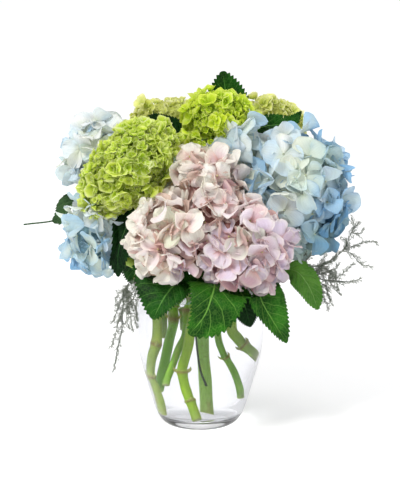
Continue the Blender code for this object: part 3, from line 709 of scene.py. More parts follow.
def mixed_object(name, verts, quads, tris, mat, colours, uvs=None, replaces=()):
    """One mesh of quads and triangles: the quads are split, so that it stays simple."""
    q = np.asarray(quads)
    parts = []
    if len(q):
        parts += [q[:, [0, 1, 2]], q[:, [0, 2, 3]]]
    if len(tris):
        parts.append(np.asarray(tris))
    return mesh_object(name, verts, np.concatenate(parts), mat, colours, uvs, replaces=replaces)


# ---- materials -------------------------------------------------------------------
MATERIALS = {}


def petal_material(name, rough, vein_strength, through, sheen, mottling):
    g = Graph(name)
    col, _ = g.attr("Col")
    _, x, y = g.uv("Petal")
    obj = g.obj()
    # veins fan out from the claw of the sepal and fork near its edge
    across = g.math("SUBTRACT", x, 0.5)
    wob = g.math("MULTIPLY", g.math("SUBTRACT", g.noise(obj, 260.0, 2.0), 0.5), 0.10)
    fan = g.math("MULTIPLY", g.math("ADD", across, wob), 9.0)
    main = g.math("ABSOLUTE", g.math("SUBTRACT", g.math("FRACT", g.math("ADD", fan, 0.5)), 0.5))
    main = g.ramp(main, 0.02, 0.13, 1.0, 0.0)
    fork = g.math("ABSOLUTE", g.math("SUBTRACT", g.math("FRACT", g.math("MULTIPLY", fan, 2.0)), 0.5))
    fork = g.math("MULTIPLY", g.ramp(fork, 0.03, 0.16, 1.0, 0.0), g.ramp(y, 0.35, 0.7))
    vein = g.math("MAXIMUM", main, g.math("MULTIPLY", fork, 0.6))
    fine = g.noise(obj, 900.0, 3.0, 0.6)
    patch = g.noise(obj, 160.0, 3.0, 0.55)
    c = g.mix(g.math("MULTIPLY", vein, vein_strength), col, g.mix(1.0, col, rgba((0.80, 0.74, 0.72)), "MULTIPLY"))
    c = g.mix(g.ramp(patch, 0.35, 0.72, 0.0, mottling), c, g.mix(1.0, c, rgba((1.12, 1.1, 1.06)), "MULTIPLY"))
    c = g.mix(g.ramp(fine, 0.45, 0.75, 0.0, mottling * 0.7), c, g.mix(1.0, c, rgba((0.9, 0.86, 0.86)), "MULTIPLY"))
    g.put(g.bsdf.inputs["Base Color"], c)
    g.put(g.bsdf.inputs["Roughness"], g.ramp(fine, 0.3, 0.7, rough - 0.06, rough + 0.08, False))
    g.bsdf.inputs["Specular IOR Level"].default_value = 0.35
    g.bsdf.inputs["Sheen Weight"].default_value = sheen
    g.bsdf.inputs["Sheen Roughness"].default_value = 0.5
    h = g.math("ADD", g.math("MULTIPLY", vein, -0.5), g.math("MULTIPLY", fine, 0.5))
    g.put(g.bsdf.inputs["Normal"], g.bump(h, 0.00018, 0.7))
    tr = g.node("BsdfTranslucent")
    g.put(tr.inputs["Color"], g.mix(1.0, c, rgba((1.0, 0.97, 0.95)), "MULTIPLY"))
    mixer = g.node("MixShader", Fac=through)
    g.t.links.new(g.bsdf.outputs[0], mixer.inputs[1])
    g.t.links.new(tr.outputs[0], mixer.inputs[2])
    g.t.links.new(mixer.outputs[0], g.out.inputs["Surface"])
    MATERIALS[name] = g.mat
    return g.mat


def stalk_material():
    g = Graph("stalk")
    col, _ = g.attr("Col")
    obj = g.obj()
    n1 = g.noise(obj, 380.0, 3.0, 0.6)
    n2 = g.noise(obj, 90.0, 2.0)
    c = g.mix(g.ramp(n1, 0.35, 0.7), col, g.mix(1.0, col, rgba((0.7, 0.72, 0.6)), "MULTIPLY"))
    c = g.mix(g.ramp(n2, 0.4, 0.7, 0.0, 0.6), c, g.mix(1.0, c, rgba((1.2, 1.15, 1.0)), "MULTIPLY"))
    g.put(g.bsdf.inputs["Base Color"], c)
    g.put(g.bsdf.inputs["Roughness"], g.ramp(n1, 0.3, 0.7, 0.5, 0.75))
    g.put(g.bsdf.inputs["Normal"], g.bump(n1, 0.0006, 0.6))
    MATERIALS["stalk"] = g.mat


def leaf_material(name, dark, light, vein_colour, rough=0.48, blemish=None, under=None):
    g = Graph(name)
    uv, x, y = g.uv("Leaf")
    obj = g.obj()
    side = g.math("ABSOLUTE", g.math("SUBTRACT", x, 0.5))          # 0 at the midrib, 0.5 at the edge
    n_small = g.noise(obj, 420.0, 4.0, 0.6)
    n_big = g.noise(obj, 55.0, 3.0, 0.55)
    wob = g.math("MULTIPLY", g.math("SUBTRACT", g.noise(obj, 110.0, 2.0), 0.5), 0.045)
    mid = g.ramp(side, 0.006, 0.022, 1.0, 0.0)
    # side veins leave the midrib and sweep towards the tip
    s = g.math("SUBTRACT", g.math("ADD", y, wob), g.math("MULTIPLY", g.math("POWER", side, 0.85), 0.42))
    cell = g.math("ABSOLUTE", g.math("SUBTRACT", g.math("FRACT", g.math("MULTIPLY", s, 8.0)), 0.5))
    sidev = g.ramp(cell, 0.0, 0.065, 1.0, 0.0)
    sidev = g.math("MULTIPLY", sidev, g.ramp(side, 0.30, 0.5, 1.0, 0.35))
    vor = g.t.nodes.new("ShaderNodeTexVoronoi")
    vor.feature = "DISTANCE_TO_EDGE"
    g.put(vor.inputs["Vector"], obj)
    vor.inputs["Scale"].default_value = 330.0
    net = g.ramp(vor.outputs["Distance"], 0.0, 0.10, 1.0, 0.0)
    c = g.mix(g.ramp(n_big, 0.32, 0.68), rgba(dark), rgba(light))
    c = g.mix(g.ramp(n_small, 0.4, 0.7, 0.0, 0.45), c, g.mix(1.0, c, rgba((1.35, 1.25, 1.0)), "MULTIPLY"))
    c = g.mix(g.math("MULTIPLY", net, 0.28), c, rgba(vein_colour))
    c = g.mix(g.math("MULTIPLY", sidev, 0.70), c, rgba(vein_colour))
    c = g.mix(g.math("MULTIPLY", mid, 0.85), c, rgba(np.asarray(vein_colour) * 1.2))
    if blemish is not None:
        spot = g.node("VectorMath", _operation="DISTANCE")
        g.put(spot.inputs[0], uv)
        spot.inputs[1].default_value = (blemish[0], blemish[1], 0.0)
        near = g.ramp(g.math("ADD", spot.outputs["Value"], g.math("MULTIPLY", n_small, 0.10)), 0.06, 0.16, 0.9, 0.0)
        c = g.mix(near, c, rgba(lin(206, 200, 96)))
    g.put(g.bsdf.inputs["Base Color"], c)
    g.put(g.bsdf.inputs["Roughness"], g.ramp(n_small, 0.3, 0.75, rough - 0.08, rough + 0.12))
    g.bsdf.inputs["Specular IOR Level"].default_value = 0.12
    h = g.math("ADD", g.math("MULTIPLY", sidev, -0.8), g.math("MULTIPLY", net, -0.30))
    h = g.math("ADD", h, g.math("MULTIPLY", n_small, 0.25))
    g.put(g.bsdf.inputs["Normal"], g.bump(h, 0.0006, 0.8))
    tr = g.node("BsdfTranslucent")
    g.put(tr.inputs["Color"], g.mix(1.0, c, rgba((1.2, 1.5, 0.6)), "MULTIPLY"))
    mixer = g.node("MixShader", Fac=0.10)
    g.t.links.new(g.bsdf.outputs[0], mixer.inputs[1])
    g.t.links.new(tr.outputs[0], mixer.inputs[2])
    g.t.links.new(mixer.outputs[0], g.out.inputs["Surface"])
    MATERIALS[name] = g.mat
    return g.mat


def stem_material():
    g = Graph("stem")
    col, _ = g.attr("Col")
    _, along, round_ = g.uv("Stem")
    obj = g.obj()
    mapping = g.node("Mapping")
    g.put(mapping.inputs["Vector"], obj)
    mapping.inputs["Scale"].default_value = (1.0, 1.0, 0.12)
    streak = g.noise(mapping.outputs["Vector"], 900.0, 3.0, 0.6)
    speck = g.noise(obj, 700.0, 2.0, 0.5)
    broad = g.noise(obj, 60.0, 2.0, 0.5)
    c = g.mix(g.ramp(streak, 0.35, 0.7, 0.0, 0.8), col, g.mix(1.0, col, rgba((0.72, 0.80, 0.60)), "MULTIPLY"))
    c = g.mix(g.ramp(broad, 0.42, 0.7, 0.0, 0.7), c, g.mix(1.0, c, rgba((1.25, 1.15, 0.9)), "MULTIPLY"))
    stain = g.noise(mapping.outputs["Vector"], 230.0, 3.0, 0.6)
    c = g.mix(g.ramp(stain, 0.58, 0.72, 0.0, 0.55), c, rgba(lin(168, 150, 84)))
    c = g.mix(g.ramp(speck, 0.62, 0.72, 0.0, 0.80), c, rgba(lin(112, 86, 54)))
    g.put(g.bsdf.inputs["Base Color"], c)
    g.put(g.bsdf.inputs["Roughness"], g.ramp(streak, 0.3, 0.7, 0.32, 0.52))
    g.put(g.bsdf.inputs["Normal"], g.bump(g.math("ADD", streak, g.math("MULTIPLY", speck, 0.5)), 0.0005, 0.6))
    MATERIALS["stem"] = g.mat


def sprig_material():
    g = Graph("sprig")
    col, _ = g.attr("Col")
    obj = g.obj()
    n1 = g.noise(obj, 800.0, 3.0, 0.6)
    c = g.mix(g.ramp(n1, 0.35, 0.7), col, g.mix(1.0, col, rgba((0.66, 0.70, 0.68)), "MULTIPLY"))
    g.put(g.bsdf.inputs["Base Color"], c)
    g.put(g.bsdf.inputs["Roughness"], g.ramp(n1, 0.3, 0.7, 0.6, 0.85))
    g.put(g.bsdf.inputs["Normal"], g.bump(n1, 0.0004, 0.6))
    MATERIALS["sprig"] = g.mat


def clear_material(name, ior, tint, shadow_tint, level, rough=0.0):
    """Clear solid that lets lamps and sky light what stands in it."""
    g = Graph(name)
    obj = g.obj()
    seed = g.noise(obj, 26.0, 2.0, 0.5)
    g.put(g.bsdf.inputs["Base Color"], g.mix(g.ramp(seed, 0.3, 0.7), rgba(tint), rgba(np.asarray(tint) * 0.985)))
    g.bsdf.inputs["Roughness"].default_value = rough
    g.bsdf.inputs["IOR"].default_value = ior
    g.bsdf.inputs["Specular Tint"].default_value = (level, level, level, 1.0)
    g.bsdf.inputs["Transmission Weight"].default_value = 1.0
    g.put(g.bsdf.inputs["Normal"], g.bump(seed, 0.0005, 0.12))
    path = g.node("LightPath")
    clear = g.node("BsdfTransparent", Color=rgba(shadow_tint))
    mixer = g.node("MixShader")
    g.t.links.new(path.outputs["Is Shadow Ray"], mixer.inputs["Fac"])
    g.t.links.new(g.bsdf.outputs[0], mixer.inputs[1])
    g.t.links.new(clear.outputs[0], mixer.inputs[2])
    g.t.links.new(mixer.outputs[0], g.out.inputs["Surface"])
    MATERIALS[name] = g.mat
    return g.mat


# ---- colours of the florets --------------------------------------------------------
def blend_cols(a, b, t):
    t = np.clip(t, 0, 1)[..., None]
    return a * (1 - t) + b * t


def smooth(t, lo, hi):
    x = np.clip((t - lo) / (hi - lo), 0, 1)
    return x * x * (3 - 2 * x)


def pink_colours(p, which, U, V, F, rng, P):
    k = which.max() + 1
    one = p[:: 4]
    lilac, blush, cream = lin(235, 221, 240), lin(245, 234, 238), lin(247, 245, 236)
    deep, leafy = lin(222, 160, 162), lin(232, 241, 214)
    # cream to the upper left, lilac to the lower right
    side = (one[:, 0] - 14.0) / 70.0 - (one[:, 2] - 212.0) / 80.0 + rng.normal(0, 0.38, k)
    side = side[which] + rng.normal(0, 0.16, len(which))
    ones = np.ones((len(which), 1))
    base = blend_cols(cream * ones, blush * ones, smooth(side, -1.1, 0.1))
    base = blend_cols(base, lilac * ones, smooth(side, 0.0, 0.9))
    base = blend_cols(base, leafy * ones, smooth(rng.uniform(0, 1, k), 0.84, 1.0)[which] * 0.7)
    rose = smooth(rng.uniform(0, 1, len(which)), 0.82, 1.0) * 0.55
    base = blend_cols(base, deep * ones, rose)
    base = base * rng.uniform(0.95, 1.05, (len(which), 1))
    c = np.broadcast_to(base[:, None, None], U.shape + (3,)).copy()
    patch = vnoise(P.reshape(-1, 3), 0.085, 2.0).reshape(U.shape)
    c = blend_cols(c, np.broadcast_to(lin(234, 204, 214), c.shape), smooth(patch, 0.0, 0.7) * 0.55)
    c = blend_cols(c, np.broadcast_to(lin(247, 240, 222), c.shape), smooth(-patch, 0.1, 0.7) * 0.45)
    edge = smooth(np.abs(V), 0.62, 1.0) * F + smooth(U, 0.80, 1.0)
    c = blend_cols(c, np.broadcast_to(lin(252, 244, 230), c.shape), np.clip(edge, 0, 1) * 0.60)
    c = blend_cols(c, np.broadcast_to(lin(218, 154, 146), c.shape), (1 - smooth(U, 0.0, 0.44)) * 0.66)
    q = P.reshape(-1, 3)
    # painted shade: the florets at the lower right of the head are darkened by about a tenth
    low = (smooth(q[:, 0], 4.0, 44.0) * smooth(-q[:, 2], -238.0, -200.0)).reshape(U.shape)[..., None]
    return np.minimum(c * np.array([1.03, 1.065, 1.07]) * (1 - low * np.array([0.09, 0.10, 0.09])), 0.985)


def blue_colours(where, tone=None):
    def run(p, which, U, V, F, rng, P):
        k = which.max() + 1
        one = p[:: 4]
        white, pale, sky, green = lin(244, 248, 247), lin(222, 238, 246), lin(180, 217, 242), lin(236, 241, 216)
        deep = lin(148, 198, 236)
        ones = np.ones((len(which), 1))
        t = where(one, k, rng)
        t = t[which] + rng.normal(0, 0.15, len(which))
        base = blend_cols(white * ones, pale * ones, smooth(t, 0.0, 0.45))
        base = blend_cols(base, sky * ones, smooth(t, 0.40, 0.85))
        base = blend_cols(base, deep * ones, smooth(t, 0.85, 1.2))
        base = blend_cols(base, green * ones, smooth(rng.uniform(0, 1, k), 0.62, 1.0)[which] * 0.75)
        base = base * rng.uniform(0.95, 1.03, (len(which), 1))
        c = np.broadcast_to(base[:, None, None], U.shape + (3,)).copy()
        patch = vnoise(P.reshape(-1, 3), 0.075, 6.0).reshape(U.shape)
        c = blend_cols(c, np.broadcast_to(lin(162, 207, 239), c.shape),
                       smooth(patch, 0.0, 0.65) * np.clip(0.25 + 0.6 * t, 0.1, 0.75)[:, None, None])
        c = blend_cols(c, np.broadcast_to(lin(240, 244, 226), c.shape), smooth(-patch, 0.05, 0.6) * 0.55)
        edge = np.clip(smooth(np.abs(V), 0.5, 1.0) * F + smooth(U, 0.66, 1.0), 0, 1)
        amount = edge * np.clip(0.05 + 0.6 * t, 0, 0.65)[:, None, None]
        c = blend_cols(c, np.broadcast_to(lin(158, 204, 238), c.shape), amount)
        c = blend_cols(c, np.broadcast_to(lin(234, 240, 218), c.shape), (1 - smooth(U, 0.0, 0.45)) * 0.6)
        # tone multiplies the colour by position; for the right blue head it also holds painted shade underneath
        if tone is not None:
            c = c * tone(P.reshape(-1, 3)).reshape(c.shape)
        return c
    return run


def blue_right_tone_and_shade(q):
    """Fresher blue on the right, and painted shade that darkens the florets underneath to a dull blue-green."""
    side = smooth(q[:, 0], 82.0, 128.0)[:, None]
    # painted shade: the florets under the head are darkened
    below = smooth(-q[:, 2], -236.0, -196.0)[:, None]
    return (1 - side * np.array([0.26, 0.15, 0.06])) * (1 - below * np.array([0.36, 0.27, 0.27]))


def blue_right_map(p, k, rng):
    wide = vnoise(p, 0.028, 8.0)
    return (0.34 + 0.42 * smooth(p[:, 0], 96.0, 146.0) - 0.14 * smooth(-p[:, 2], -205.0, -180.0)
            + 0.16 * smooth(p[:, 2], 262.0, 292.0) + 0.55 * wide + rng.normal(0, 0.14, k))


def blue_left_map(p, k, rng):
    return 0.10 + 0.5 * smooth(-p[:, 0], 108.0, 145.0) + 0.25 * smooth(-p[:, 2], -236.0, -215.0) + rng.normal(0, 0.13, k)


def blue_low_map(p, k, rng):
    return 0.60 + 0.3 * smooth(-p[:, 2], -190.0, -160.0) - 0.45 * smooth(p[:, 2], 196.0, 222.0) + rng.normal(0, 0.18, k)


def blue_back_map(p, k, rng):
    return 0.45 + rng.normal(0, 0.28, k)


# ---- big-sepalled heads --------------------------------------------------------------
def mophead(name, shape, colour_of, seed, size, spacing, slot, bead_colour, stalk_colour, dark, tilt=0.30,
            material="petal_pink", inner=True, extra=None, grow=-8.0, inner_painted_shade=(0.86, 0.86, 0.86), shift=(0.0, 0.0, 0.0), **kw):
    rng = np.random.default_rng(seed)
    p, n, d = spread(shape, spacing, rng, grow=grow, scale=1.0, slack=2.0)
    p = p + np.array(shift)
    p = p + n * rng.uniform(-5.0, 2.0, (len(p), 1))
    sets = [(p, n)]
    if inner:
        p2, n2, _ = spread(shape, spacing * 1.05, rng, grow=grow - 10.0, scale=1.0, slack=0.0)
        p2 = p2 + np.array(shift)
        sets.append((p2, unit(n2 + rng.normal(0, 0.3, n2.shape))))
    if extra is not None:
        ep, en = extra
        sets[0] = (np.concatenate([p, ep]), np.concatenate([n, en]))
    total = sum(len(a) for a, _ in sets) * 4
    G = int(math.ceil(math.sqrt(total)))
    bag = Bag()
    ends, done = [], 0
    for level, (pp, nn) in enumerate(sets):
        v, f, c, uv, w, X, Y, Z = big_florets(pp, nn, rng, size * (1.0 if level == 0 else 0.95), tilt, colour_of,
                                              cells=G, **kw)
        # each sepal has its own cell of the map
        shift = done
        if shift:
            m = len(pp) * 4
            idx = np.arange(m) + shift
            ci, cj = idx % G, idx // G
            old = np.arange(m)
            oi, oj = old % G, old // G
            per = len(uv) // m
            uv = uv + np.stack([(ci - oi) / G, (cj - oj) / G], -1).repeat(per, axis=0)
        # painted shade: the inner layer of florets, deeper in the head, is darkened, and warmed as well for the pink
        # head
        if level == 1:
            c = c * np.array(inner_painted_shade)
        bag.add(v, f, c, uv, w)
        done += len(pp) * 4
        ends.append(pp - Z * 0.5)
    v, f, c, uv, w = bag.all()
    florets = mesh_object(name + "_florets", v, f, MATERIALS[material], c, {"OFBake": uv, "Petal": w},
                          replaces=(name,))
    bp, bn = sets[0]
    # beads sit in the middle of the outer florets
    X, Y, Z = None, None, None
    eb = Bag()
    centres = ends[0]
    vv, ff, cc = bead(centres + unit(bn) * 0.9, unit(bn), 1.15, bead_colour, rng)
    eb.add(vv, ff, cc)
    mesh_object(name + "_eyes", vv, ff, MATERIALS["stalk"], cc)
    stalks(shape, np.concatenate(ends)[:: 2], name + "_stalks", stalk_colour, dark, rng=rng)
    return len(f)


# ---- heads of tiny cupped florets ------------------------------------------------------
def green_colours(shades):
    def run(p, which, U, V, F, rng, P):
        k = which.max() + 1
        one = p[:: 4]
        t = np.clip(0.5 + 0.55 * vnoise(one, 0.05, 4.0) + rng.normal(0, 0.24, k), 0, 1)
        ones = np.ones((len(which), 1))
        body = blend_cols(shades[0] * ones, shades[1] * ones, t[which]) * rng.uniform(0.86, 1.04, (len(which), 1))
        rim = blend_cols(shades[2] * ones, shades[3] * ones, rng.uniform(0, 1, k)[which])
        c = np.broadcast_to(body[:, None, None], U.shape + (3,)).copy()
        c = blend_cols(c, c * np.array([0.60, 0.70, 0.30]), 1 - smooth(U, 0.05, 0.60))
        edge = np.clip(smooth(np.abs(V), 0.45, 1.0) * F + smooth(U, 0.66, 1.0), 0, 1)
        return blend_cols(c, np.broadcast_to(rim[:, None, None], c.shape), edge * 0.92)
    return run


def green_head(name, shape, colours, seed, size, spacing, dark, cluster=3.5, tilt=0.38, tries=9000, grow=-5.0,
               extra=None):
    rng = np.random.default_rng(seed)
    p, n, d = spread(shape, spacing, rng, grow=grow, scale=1.0, slack=2.0, tries=tries, skip_under=0.9)
    # the florets stand in rounded clusters, so the surface rises and falls
    lump = vnoise(p, 0.075, seed) * cluster * 1.6 + rng.normal(0, 0.8, len(p))
    p = p + n * np.clip(lump, -cluster * 1.3, cluster)[:, None]
    if extra is not None:
        p, n = np.concatenate([p, extra[0]]), np.concatenate([n, unit(np.array(extra[1]))])
    p2, n2, _ = spread(shape, spacing * 1.15, rng, grow=grow - 5.0, scale=1.0, slack=0.0, tries=6000, skip_under=0.9)
    both_p, both_n = np.concatenate([p, p2]), np.concatenate([n, n2])
    G = int(math.ceil(math.sqrt(len(both_p) * 4)))
    v, f, c, uv, w, X, Y, Z = big_florets(both_p, both_n, rng, size, tilt, colours, nu=4, nv=5, cells=G,
                                          cup=(0.2, 0.8), lift=(0.15, 0.95), bend=(-0.1, 0.8), ruffle=0.12,
                                          fold=0.04, vary=(0.74, 1.95, 3.0))
    shade = np.ones(len(both_p))
    shade[len(p):] = 0.86
    c = c * shade.repeat(4 * 20)[:, None]
    mesh_object(name + "_florets", v, f, MATERIALS["petal_green"], c, {"OFBake": uv, "Petal": w},
                replaces=(name,))
    bv, bf, bc = bead(both_p + Z * 0.5, Z, size * 0.20, lin(206, 222, 104), rng)
    mesh_object(name + "_eyes", bv, bf, MATERIALS["stalk"], bc)
    stalks(shape, both_p[:: 5], name + "_stalks", lin(128, 160, 60), dark, core_scale=0.76, rng=rng,
           core_lump=2.5)


# ---- stems ---------------------------------------------------------------------------
def make_stem(name, spec, seed):
    rng = np.random.default_rng(seed)
    per = 10
    path = catmull(spec["path"], per)
    count = len(spec["path"]) - 1
    at = np.arange(len(path)) / per
    r = spec["r"] * (1.0 - 0.08 * at / count)
    base = lin(*STEM_COLOURS[name])
    col = np.broadcast_to(base, (len(path), 3)).copy()
    for nd in spec["nodes"]:
        g = np.exp(-((at - nd) / 0.20) ** 2)
        r = r * (1 + 0.20 * g)
        ring = np.exp(-((at - nd) / 0.12) ** 2)
        col = blend_cols(col, np.broadcast_to(lin(150, 116, 68), col.shape), ring * 0.85)
        col = blend_cols(col, np.broadcast_to(lin(196, 206, 120), col.shape), np.exp(-((at - nd - 0.22) / 0.10) ** 2) * 0.35)
    pale = np.exp(-at / 0.35)
    col = blend_cols(col, np.broadcast_to(lin(196, 200, 140), col.shape), pale * 0.55)
    sides = 20
    v, f, c0, c1 = tube_mesh(path, r, sides, cap=True)
    # slight lengthwise ribs and an uneven skin
    ring = v[:len(path) * sides].reshape(len(path), sides, 3)
    a = np.arange(sides) * 2 * np.pi / sides
    wob = 1 + 0.025 * np.sin(6 * a)[None] + 0.02 * np.sin(at * 5.0 + seed)[:, None]
    ring = path[:, None] + (ring - path[:, None]) * wob[..., None]
    # slanted cut at the lower end
    lean = unit(rng.normal(0, 1, 3) * [1, 1, 0])
    off = (ring[0] - path[0]) @ lean
    tang = unit(path[1] - path[0])
    ring[0] = ring[0] + tang * (off * 0.45)[:, None]
    ring[1] = ring[1] + tang * (off * 0.25)[:, None]
    v[:len(path) * sides] = ring.reshape(-1, 3)
    cols = np.concatenate([np.repeat(col, sides, axis=0), lin(214, 216, 168)[None], col[-1:]])
    uv = np.concatenate([np.stack([np.repeat(at / count, sides), np.tile(a / (2 * np.pi), len(path))], -1),
                         [[0, 0.5]], [[1, 0.5]]])
    o = mixed_object(name + "_skin", v, f, np.concatenate([c0, c1]), MATERIALS["stem"], cols, {"Stem": uv},
                     replaces=(name,))
    o.data.set_sharp_from_angle(angle=math.radians(60))
    # buds and scars at the nodes: small pointed scales that hug the stem
    bag = Bag()
    for nd in spec["nodes"]:
        i = int(round(nd * per))
        i = min(max(i, 1), len(path) - 2)
        tang = unit(path[i + 1] - path[i - 1])
        side = unit(np.cross(tang, rng.normal(0, 1, 3)))
        for sgn in (1, -1):
            s = side * sgn
            a0 = path[i] + s * r[i] * 0.75
            pp = catmull([a0, a0 + s * r[i] * 0.55 + tang * 2.2, a0 + s * r[i] * 0.62 + tang * 5.0], 3)
            vv, ff = tube_mesh(pp, np.array([1.5, 1.7, 1.6, 1.25, 0.9, 0.5, 0.12]) * spec["r"] / 4.5, 8)
            bag.add(vv, ff, lin(170, 176, 92))
    v, f, c, _, _ = bag.all()
    uv = np.zeros((len(v), 2))
    mesh_object(name + "_buds", v, f, MATERIALS["stem"], c, {"Stem": uv})


# ---- leaves ----------------------------------------------------------------------------
def profile_radius(z):
    pts = VASE_PROFILE + [(RIM_HEIGHT - 1.0, LIP_RADIUS)]
    zs = np.array([a for a, b in pts])
    rs = np.array([b for a, b in pts])
    return np.interp(z, zs, rs)


def leaf_half(t, tail, belly):
    if tail:
        return np.where(t < 0.62, 0.06 + 0.94 * np.maximum(0, np.sin(np.pi * np.minimum(1, t / 0.62))) ** 0.8, 0.06)
    body = np.sin(np.pi * np.clip(t, 0, 1) ** belly) ** 0.72
    return np.maximum(0.02, body * (1 - 0.25 * t))


UNDER = {"leaf_front_centre": (-6.0, 5.0, 24.0), "leaf_front_left": (6.0, 6.0, 12.0), "leaf_front_right": (-2.0, 4.0, 6.0)}


def make_leaf(name, spec, all_shapes, material, seed):
    rng = np.random.default_rng(seed)
    tail = bool(spec.get("tail", False))
    teeth = int(spec["teeth"] * 2.3)
    rows, cols = teeth * 5, 25
    # the base of the blade runs on up behind the florets
    rib = [np.array(q, float) for q in spec["rib"]]
    if name in UNDER:
        rib.insert(0, rib[0] + np.array(UNDER[name]))
    dense = catmull(rib, 24)
    run = np.concatenate([[0], np.cumsum(np.linalg.norm(np.diff(dense, axis=0), axis=1))])
    s = np.linspace(0, run[-1], rows + 1)
    path = np.stack([np.interp(s, run, dense[:, i]) for i in range(3)], -1)
    face = unit(np.array(spec["face"], float))
    tang = unit(np.gradient(path, axis=0))
    across = unit(np.cross(tang, face))
    up = unit(np.cross(across, tang))
    t = np.linspace(0, 1, rows + 1)
    bellies, shares = spec.get("belly", (0.80, 0.80)), spec.get("sides", (1.0, 1.0))
    halves = [0.5 * spec["width"] * k * leaf_half(t, tail, b) for k, b in zip(shares, bellies)]
    halves[0][-1] = halves[1][-1] = 0.15
    half = 0.5 * (halves[0] + halves[1])
    x = np.linspace(-1, 1, cols)
    # saw teeth that point towards the tip
    phase = (t * teeth) % 1.0
    tooth = np.where(phase < 0.78, phase / 0.78, (1 - phase) / 0.22)
    depth = (0.032 if not tail else 0.02) * spec["width"] * np.minimum(1, half / 6.0)
    both = np.where(x[None] < 0, halves[0][:, None], halves[1][:, None])
    H = both + (tooth * depth * 1.5 - depth * 0.5)[:, None] * (np.abs(x)[None] ** 6)
    reach = H * x[None]
    slip = (tooth * 1.6)[:, None] * (np.abs(x)[None] ** 6) * np.minimum(1, half / 6.0)[:, None]
    cup = np.abs(reach) * spec["cup"] - 0.0018 * reach * reach
    # quilting between the side veins, and the groove of the midrib
    a = np.abs(x)[None] * 0.5
    vs = (t[:, None] - a ** 0.85 * 0.42) * 8.0
    cell = np.abs(vs % 1.0 - 0.5)
    quilt = 0.55 * (smooth(cell, 0.0, 0.30) - 0.5) * np.minimum(1, half[:, None] / 12.0) * (1 - np.abs(x)[None] ** 4)
    groove = -0.7 * np.exp(-(x[None] / 0.06) ** 2) * np.minimum(1, half[:, None] / 8.0)
    wave = 0.035 * spec["width"] * (np.abs(x)[None] ** 2) * np.sin(t[:, None] * 9.0 + np.sign(x)[None] * 1.3 + seed)
    wave = wave * np.minimum(1, half[:, None] / 10.0)
    lift = cup + quilt + groove + wave
    P = (path[:, None] + across[:, None] * reach[..., None] + up[:, None] * lift[..., None]
         + tang[:, None] * slip[..., None])
    P = P.reshape(-1, 3)
    for _ in range(4):
        for sh in all_shapes.values():
            d = P - sh.c
            dist = np.linalg.norm(d, axis=1)
            u = unit(d)
            need = sh.radius(u, 1.0, 1.02, 0.5)
            P = np.where((dist < need)[:, None], sh.c + u * need[:, None], P)
        rad = np.hypot(P[:, 0], P[:, 1])
        need = profile_radius(P[:, 2]) + 1.2
        over = RIM_HEIGHT + 1.2
        low = (P[:, 2] < over) & (rad < need)
        lift_it = low & ((rad < LIP_RADIUS - 3.0) | (P[:, 2] > RIM_HEIGHT - 3.0))
        P[lift_it, 2] = over
        out = low & ~lift_it
        k = np.where(out, need / np.maximum(rad, 1), 1.0)
        P[:, 0] *= k
        P[:, 1] *= k
    # even out the bends the clearing made
    g = P.reshape(rows + 1, cols, 3)
    for _ in range(3):
        sm = g.copy()
        sm[1:-1] = g[1:-1] * 0.5 + (g[:-2] + g[2:]) * 0.25
        w = 1 - np.abs(x)[None, :, None] ** 6 * 0.98
        g = g * (1 - w) + sm * w
    P = g.reshape(-1, 3)
    uv = np.stack([np.broadcast_to(x[None] * 0.5 + 0.5, (rows + 1, cols)),
                   np.broadcast_to(t[:, None], (rows + 1, cols))], -1).reshape(-1, 2)
    f = grid_faces(rows + 1, cols)
    o = mesh_object(name + "_blade", P, f, MATERIALS[material], None, {"Leaf": uv}, replaces=(name,))
    solid = o.modifiers.new("Thickness", "SOLIDIFY")
    solid.thickness = 0.45 * MM
    solid.offset = 0.0
    # midrib ridge and leaf stalk
    start = path[0]
    back_ = unit(path[0] - path[4])
    ridge = catmull([path[0] + back_ * 7.0, path[0], path[rows // 4], path[rows // 2], path[3 * rows // 4], path[rows - 2]], 8)
    keep = np.linspace(1.4, 0.25, len(ridge))
    nearest = [np.argmin(np.linalg.norm(g[:, cols // 2] - q, axis=1)) for q in ridge]
    mid = g[nearest, cols // 2] - up[nearest] * 0.5
    mid[:8] = ridge[:8]
    vv, ff = tube_mesh(mid, keep, 8)
    mesh_object(name + "_rib", vv, ff, MATERIALS["stem"], np.broadcast_to(lin(120, 160, 84), (len(vv), 3)),
                {"Stem": np.zeros((len(vv), 2))})
    return g


# ---- sea lavender ------------------------------------------------------------------------
EXTRA_TWIGS = {
    "sprig_right_lower": [(2, (104, -4, 140), (108, -12, 126)), (3, (122, -8, 138), (117, -13, 120)),
                          (3, (124, -10, 142), (130, -14, 130)), (4, (134, -12, 140), (141, -16, 134)),
                          (2, (104, -6, 160), (110, -14, 166)), (3, (118, -10, 156), (124, -14, 168)),
                          (4, (134, -12, 158), (138, -16, 168)), (3, (112, -8, 148), (102, -14, 136)),
                          (4, (128, -14, 152), (134, -18, 160)), (3, (110, -10, 144), (118, -16, 132)),
                          (2, (100, -4, 166), (106, -12, 178)), (2, (106, -6, 168), (116, -14, 180)),
                          (3, (120, -10, 166), (126, -16, 176)), (3, (122, -10, 164), (134, -16, 170)),
                          (2, (106, -6, 158), (113, -12, 164)), (3, (124, -8, 156), (131, -14, 158)),
                          (3, (122, -10, 134), (129, -15, 120)), (2, (108, -4, 136), (116, -10, 124))],
    "sprig_right_upper": [(4, (128, -12, 168), (136, -16, 174)), (5, (146, -12, 186), (140, -16, 194)),
                          (6, (152, -12, 202), (150, -14, 212)), (4, (126, -12, 158), (136, -16, 152))],
    "sprig_left": [(6, (-66, -42, 136), (-70, -44, 122)), (6, (-62, -44, 132), (-62, -46, 116)),
                   (7, (-70, -40, 132), (-77, -40, 122)), (7, (-66, -42, 128), (-62, -46, 108)),
                   (7, (-72, -38, 118), (-70, -40, 106)), (6, (-68, -42, 140), (-76, -42, 134))],
}


